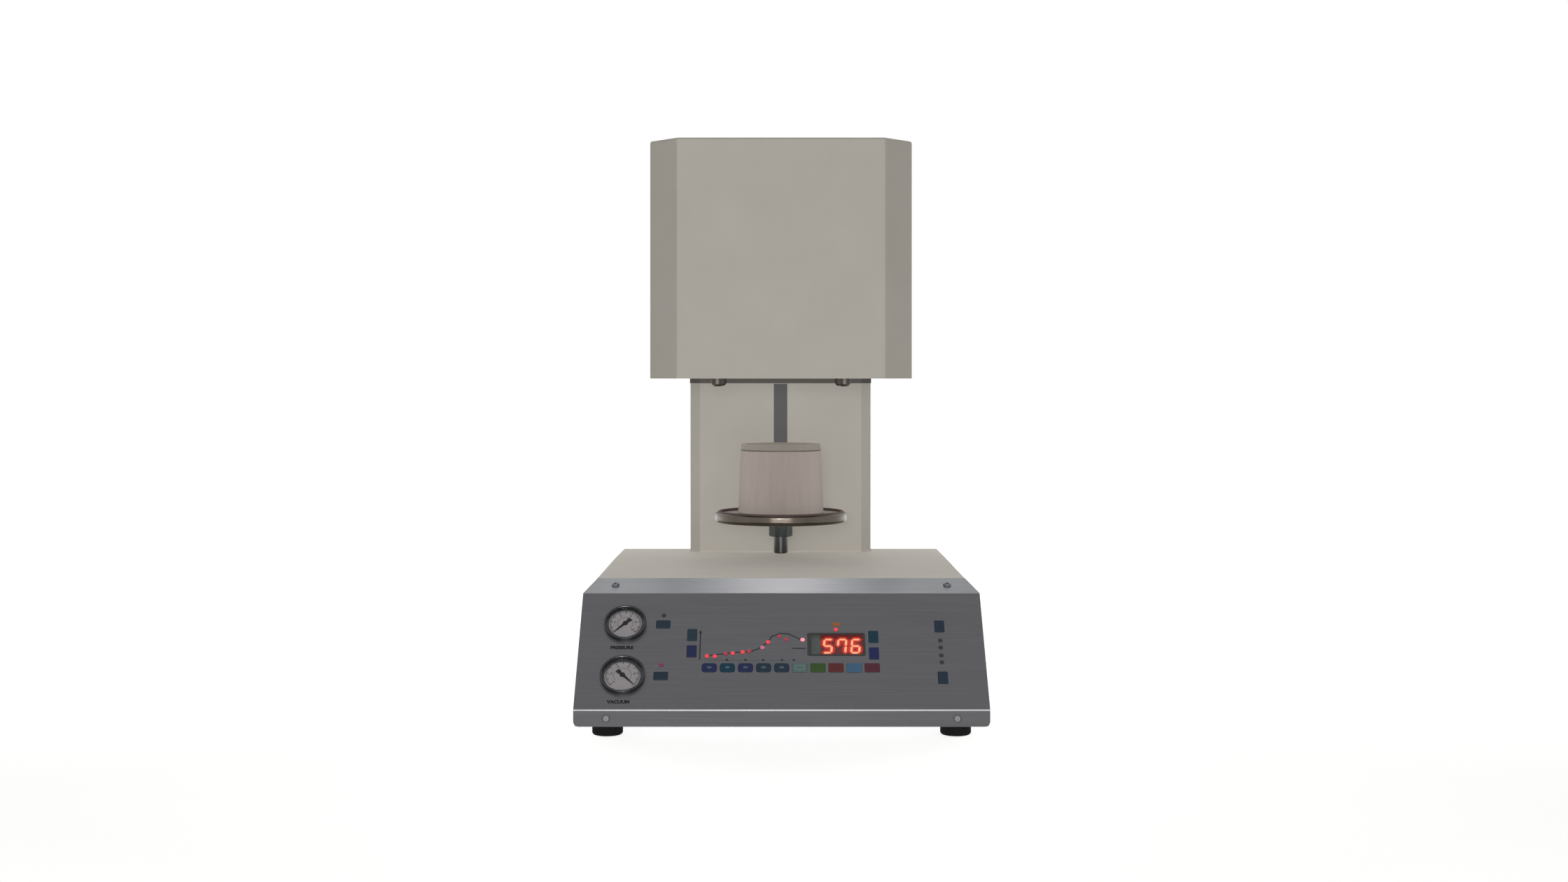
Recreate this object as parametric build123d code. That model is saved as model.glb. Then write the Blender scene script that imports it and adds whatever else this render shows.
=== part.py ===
from build123d import *
from math import atan2, cos, degrees, hypot, radians, sin, tan
import os

# A bench-top vacuum press furnace with a lift. A wedge-shaped base carries a
# slotted column, and the column carries the furnace head. A platform with a
# refractory block rises on a screw in the column and closes the chamber in the
# head from below. All sizes are in mm. Z is up, the front faces -Y, and the
# origin is under the middle of the whole object. Places are given as across
# (X, from the middle), back (from the front of the lip) and up (Z).

# Clearances
seat_gap = 0.1        # between pieces of one body that are fastened together
run_gap = 0.05        # round a shaft, rod or piston that moves in its bore
key_gap = 0.25        # round a key in the panel
stop_gap = 0.2        # left at the end of a stroke
hole_gap = 0.2        # round a screw in its hole

# Base
base_width = 380.0
base_depth = 460.0
foot_height = 12.0
foot_diameter = 28.6
foot_side = 29.0      # from the side to a foot's middle
foot_inset = 30.0     # from the front and the rear to a foot's middle
foot_edge = 3.0
lip_height = 15.5
face_rise = 96.0
face_lean = 45.0      # degrees, of the control face
band_run = 28.0
band_rise = 11.5
panel_wall = 2.0
bend_radius = 2.6
panel_corner = 5.0
cover_wall = 1.5
cover_step = 1.0      # the cover is this much narrower than the panel, each side
flange_height = 12.0  # turned-up edges that the screws go into
weld = 0.5            # how far a welded or moulded form runs into the one that carries it

# Column
column_width = 202.0
column_depth = 46.0
column_chamfer = 11.0
column_wall = 2.0
column_bend = 2.0
slot_width = 15.0
slot_low = 143.0
slot_margin = 6.0     # from the top of the slot to the head
column_top_gap = 12.0
lift_hole_front = 4.0 # from the column's front wall to the hole for the lift
lift_hole_side = 14.0 # from the column's side wall to the same hole

# Head
head_width = 268.0
head_depth = 266.0
head_chamfer_x = 29.0
head_chamfer_y = 35.0
head_low = 329.0
head_high = 572.0
head_wall = 1.5
head_bend = 2.5
head_plate = 3.0
gusset_across = 80.0
gusset_wall = 3.0
gusset_reach = 60.0

# Firing chamber, on the platform's axis
axis_rear = 146.0      # from the rear to the axis
muffle_bore = 100.0
muffle_wall = 4.0
muffle_height = 100.0
coil_strip = (2.0, 5.0)  # a flat strip, thickness and height
coil_turns = 6
coil_margin = 12.0
coil_gap = 0.6
insulation_bore = 124.0
insulation_outer = 168.0
lid_height = 30.0
can_wall = 3.0
can_lid_height = 8.0
flange_rim = 11.4      # of the can's flange, beyond its wall
flange_wall = 8.0
can_flange = 4.0
spigot_diameter = 150.0
bolt_inset = 5.5       # from the flange's edge to a bolt's middle
bolt_diameter = 8.0
bolt_head = 12.0
bolt_head_height = 8.0
bolt_edge = 2.2
bolt_drive = 6.0
bolt_drive_depth = 4.0
probe_across = 44.0
probe_diameter = 4.0
probe_depth = 18.0
probe_head = 14.0
probe_head_height = 16.0

# Press cylinder
cylinder_outer = 52.0
cylinder_bore = 40.0
cylinder_cap = 10.0
piston_height = 14.0
plunger_diameter = 12.0
plunger_stroke = 30.0
plunger_tip_lift = 4.0
port_diameter = 10.0
port_height = 7.0
port_root = 2.0        # how far the port runs into the barrel

# Platform
disc_diameter = 141.0
disc_wall = 10.5
disc_low = 176.0
disc_edge = 4.0
disc_top_edge = 2.5
seal_circle = 131.0
seal_cord = 4.0
seal_groove = 2.2
boss_diameter = 40.0
boss_height = 3.0
block_low_diameter = 90.8
block_high_diameter = 84.5
block_height = 65.5
tray_low_diameter = 84.5
tray_high_diameter = 83.6
tray_height = 7.2
tray_rim = 4.0
tray_recess = 2.5
shaft_diameter = 15.0
shaft_low = 142.8
shaft_edge = 1.0
shaft_entry = 6.0
nut_flats = 21.5
nut_height = 13.2
nut_bevel = 30.0      # degrees, of the nut's corners
washer_diameter = 24.0
washer_wall = 2.0

# Lift
arm_width = 10.0
arm_height = 14.0
arm_low = 144.5
tenon_diameter = 8.0
tenon_length = 9.0
arm_foot_width = 40.0
arm_foot_wall = 3.0
carriage_width = 120.0
carriage_depth = 30.0
carriage_height = 30.0
carriage_low = 138.0
carriage_edge = 3.0
screw_rear = 22.0     # from the rear to the lead screw
screw_diameter = 12.0
journal_diameter = 8.0
journal_proud = 2.0
nut_flange_diameter = 30.0
nut_flange_wall = 5.0
nut_body_diameter = 20.0
nut_body_low = 4.0    # from the carriage's underside up to the nut
rod_diameter = 10.0
rod_across = 45.0
bush_diameter = 16.0
bracket_wall = 10.0
bracket_width = 140.0
bracket_depth = 33.0
motor_size = (56.0, 48.0, 50.0)
motor_rear = 20.0     # from the screw to the gear motor's rear face
motor_corner = 5.0
shutter_width = 24.0
shutter_wall = 1.0
shutter_gap = 0.5     # behind the column's front wall

# Things set into the control face: across, and up the slope from the lower bend
gauges = {"pressure": (-147.5, 98.0, 40.0), "vacuum": (-147.0, 38.0, 42.0)}
gauge_proud = 4.6
gauge_depth = 24.0
gauge_rim = 1.6
gauge_edge = 0.9
gauge_seat = 1.0
gauge_body_step = 1.5
dial_wall = 0.5
dial_low = 0.6
lens_wall = 1.0
lens_low = 2.8
clamp_wall = 3.0
clamp_height = 6.0
needle_low = 1.6
needle_wall = 0.4
needle_margin = 3.5
needle_root = 2.4
needle_tip = 0.5
tail_length = 6.5
tail_width = 3.4
hub_diameter = 4.4
hub_proud = 0.5
spindle_diameter = 1.6
spindle_depth = 6.0
pressure_zero = 225.0
vacuum_zero = 315.0

side_key = (8.8, 13.5, 0.7)      # across, up the slope, corner radius
level_key = (13.0, 9.0, 0.7)
programme_key = (13.6, 9.9, 2.8)
row_key = (13.6, 9.9, 0.7)
row_first = -67.1
row_pitch = 16.8
row_up = 47.3
row_names = ["program_1", "program_2", "program_3", "program_4", "program_5",
             "time", "start", "stop", "cool", "end"]
keys = {
    "pressure": (-111.7, 98.0, level_key),
    "vacuum": (-111.7, 38.0, level_key),
    "left_up": (-84.0, 85.4, side_key),
    "left_down": (-84.0, 66.3, side_key),
    "right_up": (86.3, 83.2, side_key),
    "right_down": (86.3, 63.8, side_key),
    "lift_up": (149.0, 95.5, side_key),
    "lift_down": (149.0, 36.0, side_key),
}
for place, name in enumerate(row_names):
    size = programme_key if name.startswith("program") else row_key
    keys[name] = (row_first + row_pitch * place, row_up, size)
key_proud = 0.8
key_flange = 0.9
key_flange_wall = 1.0
key_stem = 3.6
key_travel = 0.5
key_edge = 0.3
switch_side = 6.0
switch_body = 3.4
switch_height = 4.3
switch_button = 3.5

window_size = (54.2, 26.7)
window_corner = 1.8
window_place = (51.3, 74.5)
window_sunk = 0.3
window_flange = 1.5
window_flange_wall = 0.8
display_size = (50.3, 19.0)
lamp_diameter = 3.0
lamp_proud = 0.4
lamp_edge = 0.35
lamps = [
    (-69.5, 60.6), (-62.2, 60.4), (-52.3, 63.4), (-45.6, 63.9), (-36.3, 65.2),
    (-30.3, 66.3), (-17.9, 70.5), (-12.6, 76.8), (-2.0, 83.7), (4.2, 80.2),
    (19.8, 79.6), (51.2, 91.6), (-111.5, 108.7), (-111.7, 50.6),
    (149.0, 78.9), (149.0, 70.7), (149.0, 61.6), (149.0, 53.7),
]
board_gap = 9.0
board_wall = 1.6
board_span = (-120.0, 160.0)
board_rise = (26.0, 115.0)
spacer_diameter = 6.0
spacer_inset = 5.0
spacer_across = (-97.0, 12.0, 120.0)

# Inside the base
core_size = (86.0, 46.0, 72.0)
core_place = (-100.0, 250.0)
winding_size = (56.0, 74.0, 46.0)
power_board_size = (130.0, 110.0)
power_board_place = (70.0, 280.0)
power_board_lift = 8.0
sink_depth = 90.0
sink_height = 40.0
sink_base = 4.0
sink_fins = 5
sink_pitch = 18.0
fin_wall = 3.0

# Rear fittings
fitting_up = 50.0
inlet_side = 70.0      # from the side of the base
inlet_flange = (31.0, 24.0)
inlet_flange_wall = 2.5
inlet_body = (27.4, 20.0)
inlet_depth = 20.0
inlet_socket = (24.2, 16.6)
inlet_socket_depth = 17.0
inlet_corner = 5.0
pin_size = (2.0, 4.0)
pin_length = 11.0
pin_pitch = 7.0
pin_rise = 2.0
pin_root = 2.0
rocker_side = 110.0
rocker_flange = (25.0, 32.0)
rocker_flange_wall = 2.0
rocker_body = (21.4, 27.0)
rocker_depth = 20.0
rocker_hole = (17.0, 23.0)
rocker_hole_depth = 14.0
rocker_length = 20.4
rocker_height = 7.0
rocker_tilt = 9.0
rocker_pivot = 5.0     # from the rocker's pivot in to the frame's outer face
rocker_root = 2.5      # from the pivot in to the rocker's back
rocker_root_length = 11.2
rocker_shoulder = 1.5  # from the pivot out to the rocker's shoulders
trunnion_diameter = 3.0
trunnion_length = 1.2
barb_sides = (90.0, 55.0)
barb_hex = 14.0
barb_hex_height = 5.0
barb_root = 7.0
barb_crest = 8.4
barb_count = 3
barb_step = 4.0
barb_bore = 3.0
barb_thread = 10.0
barb_thread_length = 12.0
manifold_size = (66.0, 26.0, 26.0)
valve_side = 22.0
valve_height = 24.0
valve_cap_diameter = 11.0
valve_cap_height = 10.0
rear_vents = 12
rear_vent_pitch = 9.0
rear_vent_width = 3.0
rear_vent_height = 26.0
rear_vent_up = 98.0
head_vents = 14
head_vent_up = 530.0
floor_vents = 8
floor_vent_across = 70.0
floor_vent_back = 250.0

# Screws
screw_head = 7.6
screw_head_height = 2.2
screw_edge = 1.3
screw_drive = 2.8
screw_shank = 4.0
screw_length = 8.0
panel_screw_side = 30.0
side_screw_inset = 60.0
head_screw_insets = (160.0, 40.0)  # from the rear
rear_screws_up = (150.0, 240.0, 350.0, 450.0, 555.0)
rear_screw_inset = 8.0

# Sizes that follow from the ones above
rear_reach = barb_hex_height + barb_count * barb_step
front_y = -(base_depth + rear_reach) / 2
rear_y = front_y + base_depth
axis_back = base_depth - axis_rear
axis_y = front_y + axis_back
screw_back = base_depth - screw_rear
head_front = base_depth - head_depth
bend_up = foot_height + lip_height
brow_up = bend_up + face_rise
base_top = brow_up + band_rise
brow_back = face_rise / tan(radians(face_lean))
band_back = brow_back + band_run
band_lean = degrees(atan2(band_rise, band_run))
half_base = base_width / 2
half_cover = half_base - cover_step
column_front = base_depth - column_depth
inlet_place = (inlet_side - half_base, fitting_up)
rocker_place = (rocker_side - half_base, fitting_up)
barb_across = [half_base - side for side in barb_sides]
panel_screw_across = half_base - panel_screw_side
side_screws = (side_screw_inset, base_depth / 2, base_depth - side_screw_inset)
head_side_screws = [base_depth - inset for inset in head_screw_insets]
foot_places = [(side * (half_base - foot_side), back)
               for side in (-1, 1) for back in (foot_inset, base_depth - foot_inset)]
can_inner = insulation_outer + 2 * seat_gap
can_outer = can_inner + 2 * can_wall
flange_outer = can_outer + 2 * flange_rim
bolt_reach = flange_outer / 2 - bolt_inset
bolt_places = [(bolt_reach * cos(radians(turn)), axis_back + bolt_reach * sin(radians(turn)))
               for turn in (45, 135, 225, 315)]


def block(across, back, up):
    """A box given by its two limits across, back and up."""
    spans = [limits[1] - limits[0] for limits in (across, back, up)]
    middle = [(limits[1] + limits[0]) / 2 for limits in (across, back, up)]
    return Pos(middle[0], front_y + middle[1], middle[2]) * Box(*spans)


def rod(across, back, up, diameter):
    """An upright cylinder between two heights."""
    solid = Cylinder(diameter / 2, up[1] - up[0], align=(Align.CENTER, Align.CENTER, Align.MIN))
    return Pos(across, front_y + back, up[0]) * solid


def ring(across, back, up, outer, inner):
    """An upright tube between two heights."""
    through = (up[0] - 1, up[1] + 1)
    return rod(across, back, up, outer) - rod(across, back, through, inner)


def cone(across, back, up, low_diameter, high_diameter):
    """An upright cone frustum between two heights."""
    solid = Cone(low_diameter / 2, high_diameter / 2, up[1] - up[0],
                 align=(Align.CENTER, Align.CENTER, Align.MIN))
    return Pos(across, front_y + back, up[0]) * solid


def outline(points):
    """A flat face inside straight lines through the points."""
    return make_face(Polyline(*points, close=True))


def moved_line(points, distance):
    """The same open line of points, moved to its right by a distance."""
    normals = []
    for (y0, z0), (y1, z1) in zip(points, points[1:]):
        length = hypot(y1 - y0, z1 - z0)
        normals.append(((z1 - z0) / length, (y0 - y1) / length))
    first, last = normals[0], normals[-1]
    moved = [(points[0][0] + first[0] * distance, points[0][1] + first[1] * distance)]
    for (y, z), one, two in zip(points[1:], normals, normals[1:]):
        share = distance / (1 + one[0] * two[0] + one[1] * two[1])
        moved.append((y + (one[0] + two[0]) * share, z + (one[1] + two[1]) * share))
    moved.append((points[-1][0] + last[0] * distance, points[-1][1] + last[1] * distance))
    return moved


def along_y(face, back_from, back_to):
    """A face drawn across and up, run from one distance back to another."""
    return Pos(0, front_y + back_from, 0) * extrude(Plane.XZ * face, -(back_to - back_from))


def along_x(face, half_width):
    """A face drawn back and up, run both ways from the middle."""
    return Pos(0, front_y, 0) * extrude(Plane.YZ * face, half_width, both=True)


def upright(face, low, high):
    """A face drawn across and back, run from one height to another."""
    return Pos(0, front_y, low) * extrude(face, high - low)


def rear_rod(across, up, back, diameter):
    """A cylinder that lies front to back, between two distances back."""
    middle = Pos(across, front_y + (back[0] + back[1]) / 2, up)
    return middle * Rot(90, 0, 0) * Cylinder(diameter / 2, back[1] - back[0])


# The control face: across, up the slope, and out of the sheet
face_plane = Plane(origin=(0, front_y, bend_up), x_dir=(1, 0, 0),
                   z_dir=(0, -sin(radians(face_lean)), cos(radians(face_lean))))


def face_block(across, slope, size, out):
    """A box on the control face, between two distances out of it."""
    place = face_plane.location * Pos(across, slope, (out[0] + out[1]) / 2)
    return place * Box(size[0], size[1], out[1] - out[0])


def face_pad(across, slope, size, out, corner):
    """A box on the control face with its four upright edges rounded."""
    pad = face_block(across, slope, size, out)
    return fillet(pad.edges().filter_by(Axis(face_plane.origin, face_plane.z_dir)), corner)


def face_rod(across, slope, out, diameter):
    """A cylinder square to the control face."""
    place = face_plane.location * Pos(across, slope, (out[0] + out[1]) / 2)
    return place * Cylinder(diameter / 2, out[1] - out[0])


def button_screw(place):
    """A button-head screw whose head stands on the place, shank going down."""
    head = Cylinder(screw_head / 2, screw_head_height, align=(Align.CENTER, Align.CENTER, Align.MIN))
    head = chamfer(head.edges().group_by(Axis.Z)[-1], screw_edge)
    drive = extrude(RegularPolygon(screw_drive / 2, 6), screw_head_height)
    shank = Cylinder(screw_shank / 2, screw_length, align=(Align.CENTER, Align.CENTER, Align.MAX))
    return place * (head + shank - Pos(0, 0, screw_head_height / 2) * drive)


def screw_hole(place):
    """The clearance hole that goes with a button-head screw."""
    return place * Cylinder(screw_shank / 2 + hole_gap, 2 * screw_length)


nodes = {}


def keep(name, *pieces):
    """Store the solids of one named piece."""
    solids = []
    for piece in pieces:
        solids += piece.solids()
    nodes[name] = solids


# Where the screws stand
band_plane = Plane(origin=(0, front_y + brow_back + band_run / 2, brow_up + band_rise / 2),
                   x_dir=(1, 0, 0),
                   z_dir=(0, -sin(radians(band_lean)), cos(radians(band_lean))))
front_screw_places = []
for side in (-1, 1):
    front_screw_places.append(band_plane.location * Pos(side * panel_screw_across, 0, seat_gap))
    front_screw_places.append(Pos(side * panel_screw_across, front_y - seat_gap,
                                  foot_height + lip_height / 2) * Rot(90, 0, 0))
side_screw_places = []
for side in (-1, 1):
    for back in side_screws:
        side_screw_places.append(
            Pos(side * (half_cover + seat_gap), front_y + back, foot_height + flange_height / 2)
            * Rot(0, side * 90, 0))
head_screw_places = []
for side in (-1, 1):
    for back in head_side_screws:
        head_screw_places.append(
            Pos(side * (head_width / 2 + seat_gap), front_y + back, head_low + head_plate + flange_height / 2)
            * Rot(0, side * 90, 0))
rear_screw_places = []
for up in rear_screws_up:
    width = head_width if up > head_low else column_width
    for side in (-1, 1):
        across = side * (width / 2 - rear_screw_inset)
        rear_screw_places.append(Pos(across, rear_y + seat_gap, up) * Rot(-90, 0, 0))


# Front panel: one bent sheet with a lip, the sloping control face and a top band
panel_line = [(0, foot_height), (0, bend_up), (brow_back, brow_up), (band_back, base_top)]


def base_view(half_width, low, high, cut):
    """The base seen from the front, with its two top corners cut."""
    return outline([(-half_width, low), (half_width, low), (half_width, high - cut),
                    (half_width - cut, high), (cut - half_width, high), (-half_width, high - cut)])


def make_front_panel():
    inner = moved_line(panel_line, panel_wall)
    sheet = along_x(outline(panel_line + inner[::-1]), half_base)
    bends = [edge for edge in sheet.edges().filter_by(Axis.X)
             if any(hypot(edge.center().Y - front_y - y, edge.center().Z - z) < 0.01
                    for y, z in panel_line[1:3])]
    sheet = fillet(bends, bend_radius)
    view = base_view(half_base, foot_height, base_top, band_rise)
    view = fillet(view.vertices().group_by(Axis.Y)[0], panel_corner)
    sheet &= along_y(view, -1, base_depth)
    cuts = []
    for across, slope, size in keys.values():
        cuts.append(face_pad(across, slope, (size[0] + 2 * key_gap, size[1] + 2 * key_gap),
                             (-2 * panel_wall, panel_wall), size[2] + key_gap))
    for across, slope in lamps:
        cuts.append(face_rod(across, slope, (-2 * panel_wall, panel_wall), lamp_diameter + 2 * seat_gap))
    for across, slope, bezel in gauges.values():
        cuts.append(face_rod(across, slope, (-2 * panel_wall, panel_wall),
                             bezel - 2 * gauge_body_step + 2 * seat_gap))
    cuts.append(face_pad(*window_place, [side + 2 * seat_gap for side in window_size],
                         (-2 * panel_wall, panel_wall), window_corner + seat_gap))
    for place in front_screw_places:
        cuts.append(screw_hole(place))
    return sheet - cuts


# Base cover: the top and both sides, folded from one sheet
lift_hole_half = column_width / 2 - column_wall - lift_hole_side
lift_hole_back = (column_front + column_wall + lift_hole_front, base_depth - cover_wall - 1)


def make_base_cover():
    outer = base_view(half_cover, foot_height, base_top, band_rise)
    tall = base_view(half_cover, foot_height - 4 * cover_wall, base_top, band_rise)
    inner = offset(tall, -cover_wall, kind=Kind.INTERSECTION)
    front = moved_line(panel_line, panel_wall + seat_gap)
    back = moved_line(panel_line, panel_wall + seat_gap + cover_wall)
    edge = front[-1][0] + seat_gap
    side_view = outline(front + [(edge, base_top), (base_depth, base_top), (base_depth, foot_height)])
    shell = along_y(outer, 0, base_depth) - along_y(inner, -1, base_depth + 1)
    shell &= along_x(side_view, half_base)
    fold = outline([front[2], front[3], (edge, base_top), (edge + cover_wall, base_top - cover_wall / 2),
                    back[3], back[2]])
    flange = along_x(fold, half_cover - band_rise - cover_wall)
    hole = block((-lift_hole_half, lift_hole_half), lift_hole_back, (brow_up, base_top + 1))
    cuts = [screw_hole(place) for place in front_screw_places + side_screw_places]
    return shell + flange - hole - cuts


# Base pan: floor, turned-up edges and rear wall
def make_base_pan():
    inside = cover_wall + seat_gap
    outer = base_view(half_cover - inside, foot_height, base_top - inside,
                      band_rise - inside * (2 - 2 ** 0.5))
    inner = base_view(half_cover - inside - cover_wall, foot_height + cover_wall,
                      base_top - inside + 10, 0.1)
    front = panel_wall + seat_gap
    pan = along_y(outer, front, base_depth)
    pan -= along_y(inner, front + cover_wall, base_depth - cover_wall)
    above = foot_height + flange_height
    pan -= block((-half_base, half_base), (-1, base_depth - cover_wall), (above, base_top + 10))
    cuts = [screw_hole(place) for place in front_screw_places + side_screw_places]
    wall = (base_depth - 2 * cover_wall, base_depth + 1)
    grow = 2 * seat_gap
    across, up = inlet_place
    cuts.append(block((across - inlet_body[0] / 2 - grow, across + inlet_body[0] / 2 + grow), wall,
                      (up - inlet_body[1] / 2 - grow, up + inlet_body[1] / 2 + grow)))
    across, up = rocker_place
    cuts.append(block((across - rocker_body[0] / 2 - grow, across + rocker_body[0] / 2 + grow), wall,
                      (up - rocker_body[1] / 2 - grow, up + rocker_body[1] / 2 + grow)))
    for across in barb_across:
        cuts.append(rear_rod(across, fitting_up, wall, barb_thread + grow))
    for place in range(rear_vents):
        across = (place - (rear_vents - 1) / 2) * rear_vent_pitch
        cuts.append(block((across - rear_vent_width / 2, across + rear_vent_width / 2), wall,
                          (rear_vent_up - rear_vent_height / 2, rear_vent_up + rear_vent_height / 2)))
    for place in range(floor_vents):
        back = floor_vent_back + (place - (floor_vents - 1) / 2) * rear_vent_pitch
        for side in (-1, 1):
            middle = side * floor_vent_across
            cuts.append(block((middle - rear_vent_height / 2, middle + rear_vent_height / 2),
                              (back - rear_vent_width / 2, back + rear_vent_width / 2),
                              (foot_height - 1, foot_height + cover_wall + 1)))
    for across, back in foot_places:
        cuts.append(rod(across, back, (foot_height - 1, foot_height + 3), screw_shank + 2 * hole_gap))
    return pan - cuts


def make_foot(across, back):
    foot = rod(across, back, (0, foot_height - seat_gap), foot_diameter)
    foot = fillet(foot.edges().group_by(Axis.Z)[0], foot_edge)
    recess = rod(across, back, (-1, foot_height / 2), screw_head + 2)
    return foot - recess - rod(across, back, (0, foot_height + 1), screw_shank + 2 * hole_gap)


def make_foot_screw(across, back):
    return button_screw(Pos(across, front_y + back, foot_height / 2 - seat_gap) * Rot(180, 0, 0))


keep("front_panel", make_front_panel())
keep("base_cover", make_base_cover())
keep("base_pan", make_base_pan())
keep("rubber_feet", *[make_foot(*place) for place in foot_places])
screw_places = front_screw_places + side_screw_places + head_screw_places + rear_screw_places
keep("housing_screws", *[button_screw(place) for place in screw_places],
     *[make_foot_screw(*place) for place in foot_places])


# Column: a folded channel, open at the rear, with the slot for the lift's arm
column_low = base_top + seat_gap
column_high = head_high - head_wall - column_top_gap
slot_high = head_low - slot_margin


def column_view(spread, rear):
    """The column seen from above, grown by a distance, open to the rear."""
    half = column_width / 2 + spread
    front = column_front - spread
    cut = column_chamfer + spread * (2 - 2 ** 0.5)
    return outline([(-half, rear), (-half, front + cut), (cut - half, front),
                    (half - cut, front), (half, front + cut), (half, rear)])


def make_column_shell():
    rear = base_depth - cover_wall - seat_gap
    shell = upright(column_view(0, rear), column_low, column_high)
    folds = [edge for edge in shell.edges().filter_by(Axis.Z) if edge.center().Y < front_y + rear - 1]
    shell = fillet(folds, column_bend)
    shell -= upright(column_view(-column_wall, rear + 1), column_low - 1, column_high + 1)
    shell -= block((-slot_width / 2, slot_width / 2), (column_front - 1, column_front + 2 * column_wall),
                   (slot_low, slot_high))
    ties = []
    for side in (-1, 1):
        inner = side * (column_width / 2 - column_wall - flange_height)
        outer = side * (column_width / 2 - column_wall)
        ties.append(block(sorted((inner, outer)), (rear - cover_wall, rear), (column_low, column_high)))
        foot_in = side * (lift_hole_half + 1)
        ties.append(block(sorted((foot_in, outer)),
                          (column_front + column_chamfer, rear), (column_low, column_low + cover_wall)))
    cuts = [screw_hole(place) for place in rear_screw_places]
    return shell + ties - cuts


# Head: a folded hood with a turned-up floor plate inside its rim
def head_view(inset):
    """The head seen from above, drawn in by a distance on every side but the rear."""
    half = head_width / 2 - inset
    front = head_front + inset
    slant = hypot(head_chamfer_x, head_chamfer_y)
    turn_x = inset * (slant - head_chamfer_x) / head_chamfer_y
    turn_y = inset * (slant - head_chamfer_y) / head_chamfer_x
    flat = head_width / 2 - head_chamfer_x - turn_x
    side = head_front + head_chamfer_y + turn_y
    return outline([(-half, base_depth), (-half, side), (-flat, front),
                    (flat, front), (half, side), (half, base_depth)])


def make_head_cover():
    hood = upright(head_view(0), head_low, head_high)
    folds = [edge for edge in hood.edges().filter_by(Axis.Z) if edge.center().Y < rear_y - 1]
    folds += [edge for edge in hood.edges().group_by(Axis.Z)[-1] if edge.center().Y < rear_y - 1]
    hood = fillet(folds, head_bend)
    inside = upright(head_view(head_wall), head_low - 1, head_high - head_wall)
    hood -= inside
    return hood - [screw_hole(place) for place in head_screw_places]


def make_gusset(side):
    """One of two triangular plates between the floor plate and the column."""
    back = column_front - seat_gap
    low = head_low + head_plate - weld
    front = back - gusset_reach / 2
    plate = outline([(back, low), (back, low + gusset_reach), (back - 2 * gusset_wall, low + gusset_reach),
                     (front, low + 2 * gusset_wall), (front, low)])
    return Pos(side * gusset_across, 0, 0) * along_x(plate, gusset_wall / 2)


def make_head_plate():
    inset = head_wall + seat_gap
    rear = base_depth - cover_wall - seat_gap
    plate = upright(head_view(inset), head_low, head_low + head_plate + flange_height)
    plate -= upright(head_view(inset + cover_wall), head_low + head_plate, head_high)
    plate -= block((-head_width, head_width), (rear, base_depth + 1), (head_low - 1, head_high))
    plate -= upright(column_view(seat_gap, base_depth + 1), head_low - 1, head_high)
    plate -= rod(0, axis_back, (head_low - 1, head_high), spigot_diameter + 2 * seat_gap)
    cuts = [screw_hole(place) for place in head_screw_places]
    cuts += [rod(across, back, (head_low - 1, head_high), bolt_diameter + 2 * hole_gap)
             for across, back in bolt_places]
    return plate + [make_gusset(side) for side in (-1, 1)] - cuts


def make_rear_cover():
    half_column = column_width / 2
    half_head = head_width / 2 - head_wall - seat_gap
    step = head_low
    top = head_high - head_wall - seat_gap
    plate = along_y(outline([(-half_column, column_low), (half_column, column_low), (half_column, step),
                             (half_head, step), (half_head, top), (-half_head, top),
                             (-half_head, step), (-half_column, step)]),
                    base_depth - cover_wall, base_depth)
    cuts = [screw_hole(place) for place in rear_screw_places]
    wall = (base_depth - 2 * cover_wall, base_depth + 1)
    for place in range(head_vents):
        across = (place - (head_vents - 1) / 2) * rear_vent_pitch
        cuts.append(block((across - rear_vent_width / 2, across + rear_vent_width / 2), wall,
                          (head_vent_up - rear_vent_height / 2, head_vent_up + rear_vent_height / 2)))
    return plate - cuts


keep("column_shell", make_column_shell())
keep("head_cover", make_head_cover())
keep("head_plate", make_head_plate())
keep("rear_cover", make_rear_cover())


# Firing chamber, from the flange up
flange_low = head_low + head_plate + seat_gap
flange_high = flange_low + flange_wall
muffle_low = head_low
muffle_high = muffle_low + muffle_height
lid_low = muffle_high + seat_gap
lid_high = lid_low + lid_height
can_low = flange_high + seat_gap
can_high = lid_high + seat_gap
can_lid_top = can_high + can_lid_height
cylinder_low = can_lid_top + seat_gap
plunger_low = lid_low + plunger_tip_lift
piston_low = cylinder_low + cylinder_cap + plunger_stroke + stop_gap
cylinder_high = piston_low + piston_height + stop_gap + cylinder_cap
muffle_outer = muffle_bore + 2 * muffle_wall


def make_seal_flange():
    flange = ring(0, axis_back, (flange_low, flange_high), flange_outer, muffle_outer + 2 * seat_gap)
    flange += ring(0, axis_back, (head_low, flange_low), spigot_diameter, muffle_outer + 2 * seat_gap)
    return flange - [rod(across, back, (head_low, flange_high + 1), bolt_diameter + 2 * seat_gap)
                     for across, back in bolt_places]


def make_bolt(across, back):
    head = rod(across, back, (head_low - seat_gap - bolt_head_height, head_low - seat_gap), bolt_head)
    head = chamfer(head.edges().group_by(Axis.Z)[0], bolt_edge)
    drive = extrude(RegularPolygon(bolt_drive / 2, 6), bolt_drive_depth)
    head -= Pos(across, front_y + back, head_low - seat_gap - bolt_head_height) * drive
    return head + rod(across, back, (head_low - seat_gap, can_low + can_flange - seat_gap), bolt_diameter)


def make_chamber_can():
    can = ring(0, axis_back, (can_low, can_high), can_outer, can_inner)
    can += ring(0, axis_back, (can_low, can_low + can_flange), flange_outer, can_inner)
    return can - [rod(across, back, (can_low - 1, can_low + can_flange + 1), bolt_diameter + 2 * seat_gap)
                  for across, back in bolt_places]


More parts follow.
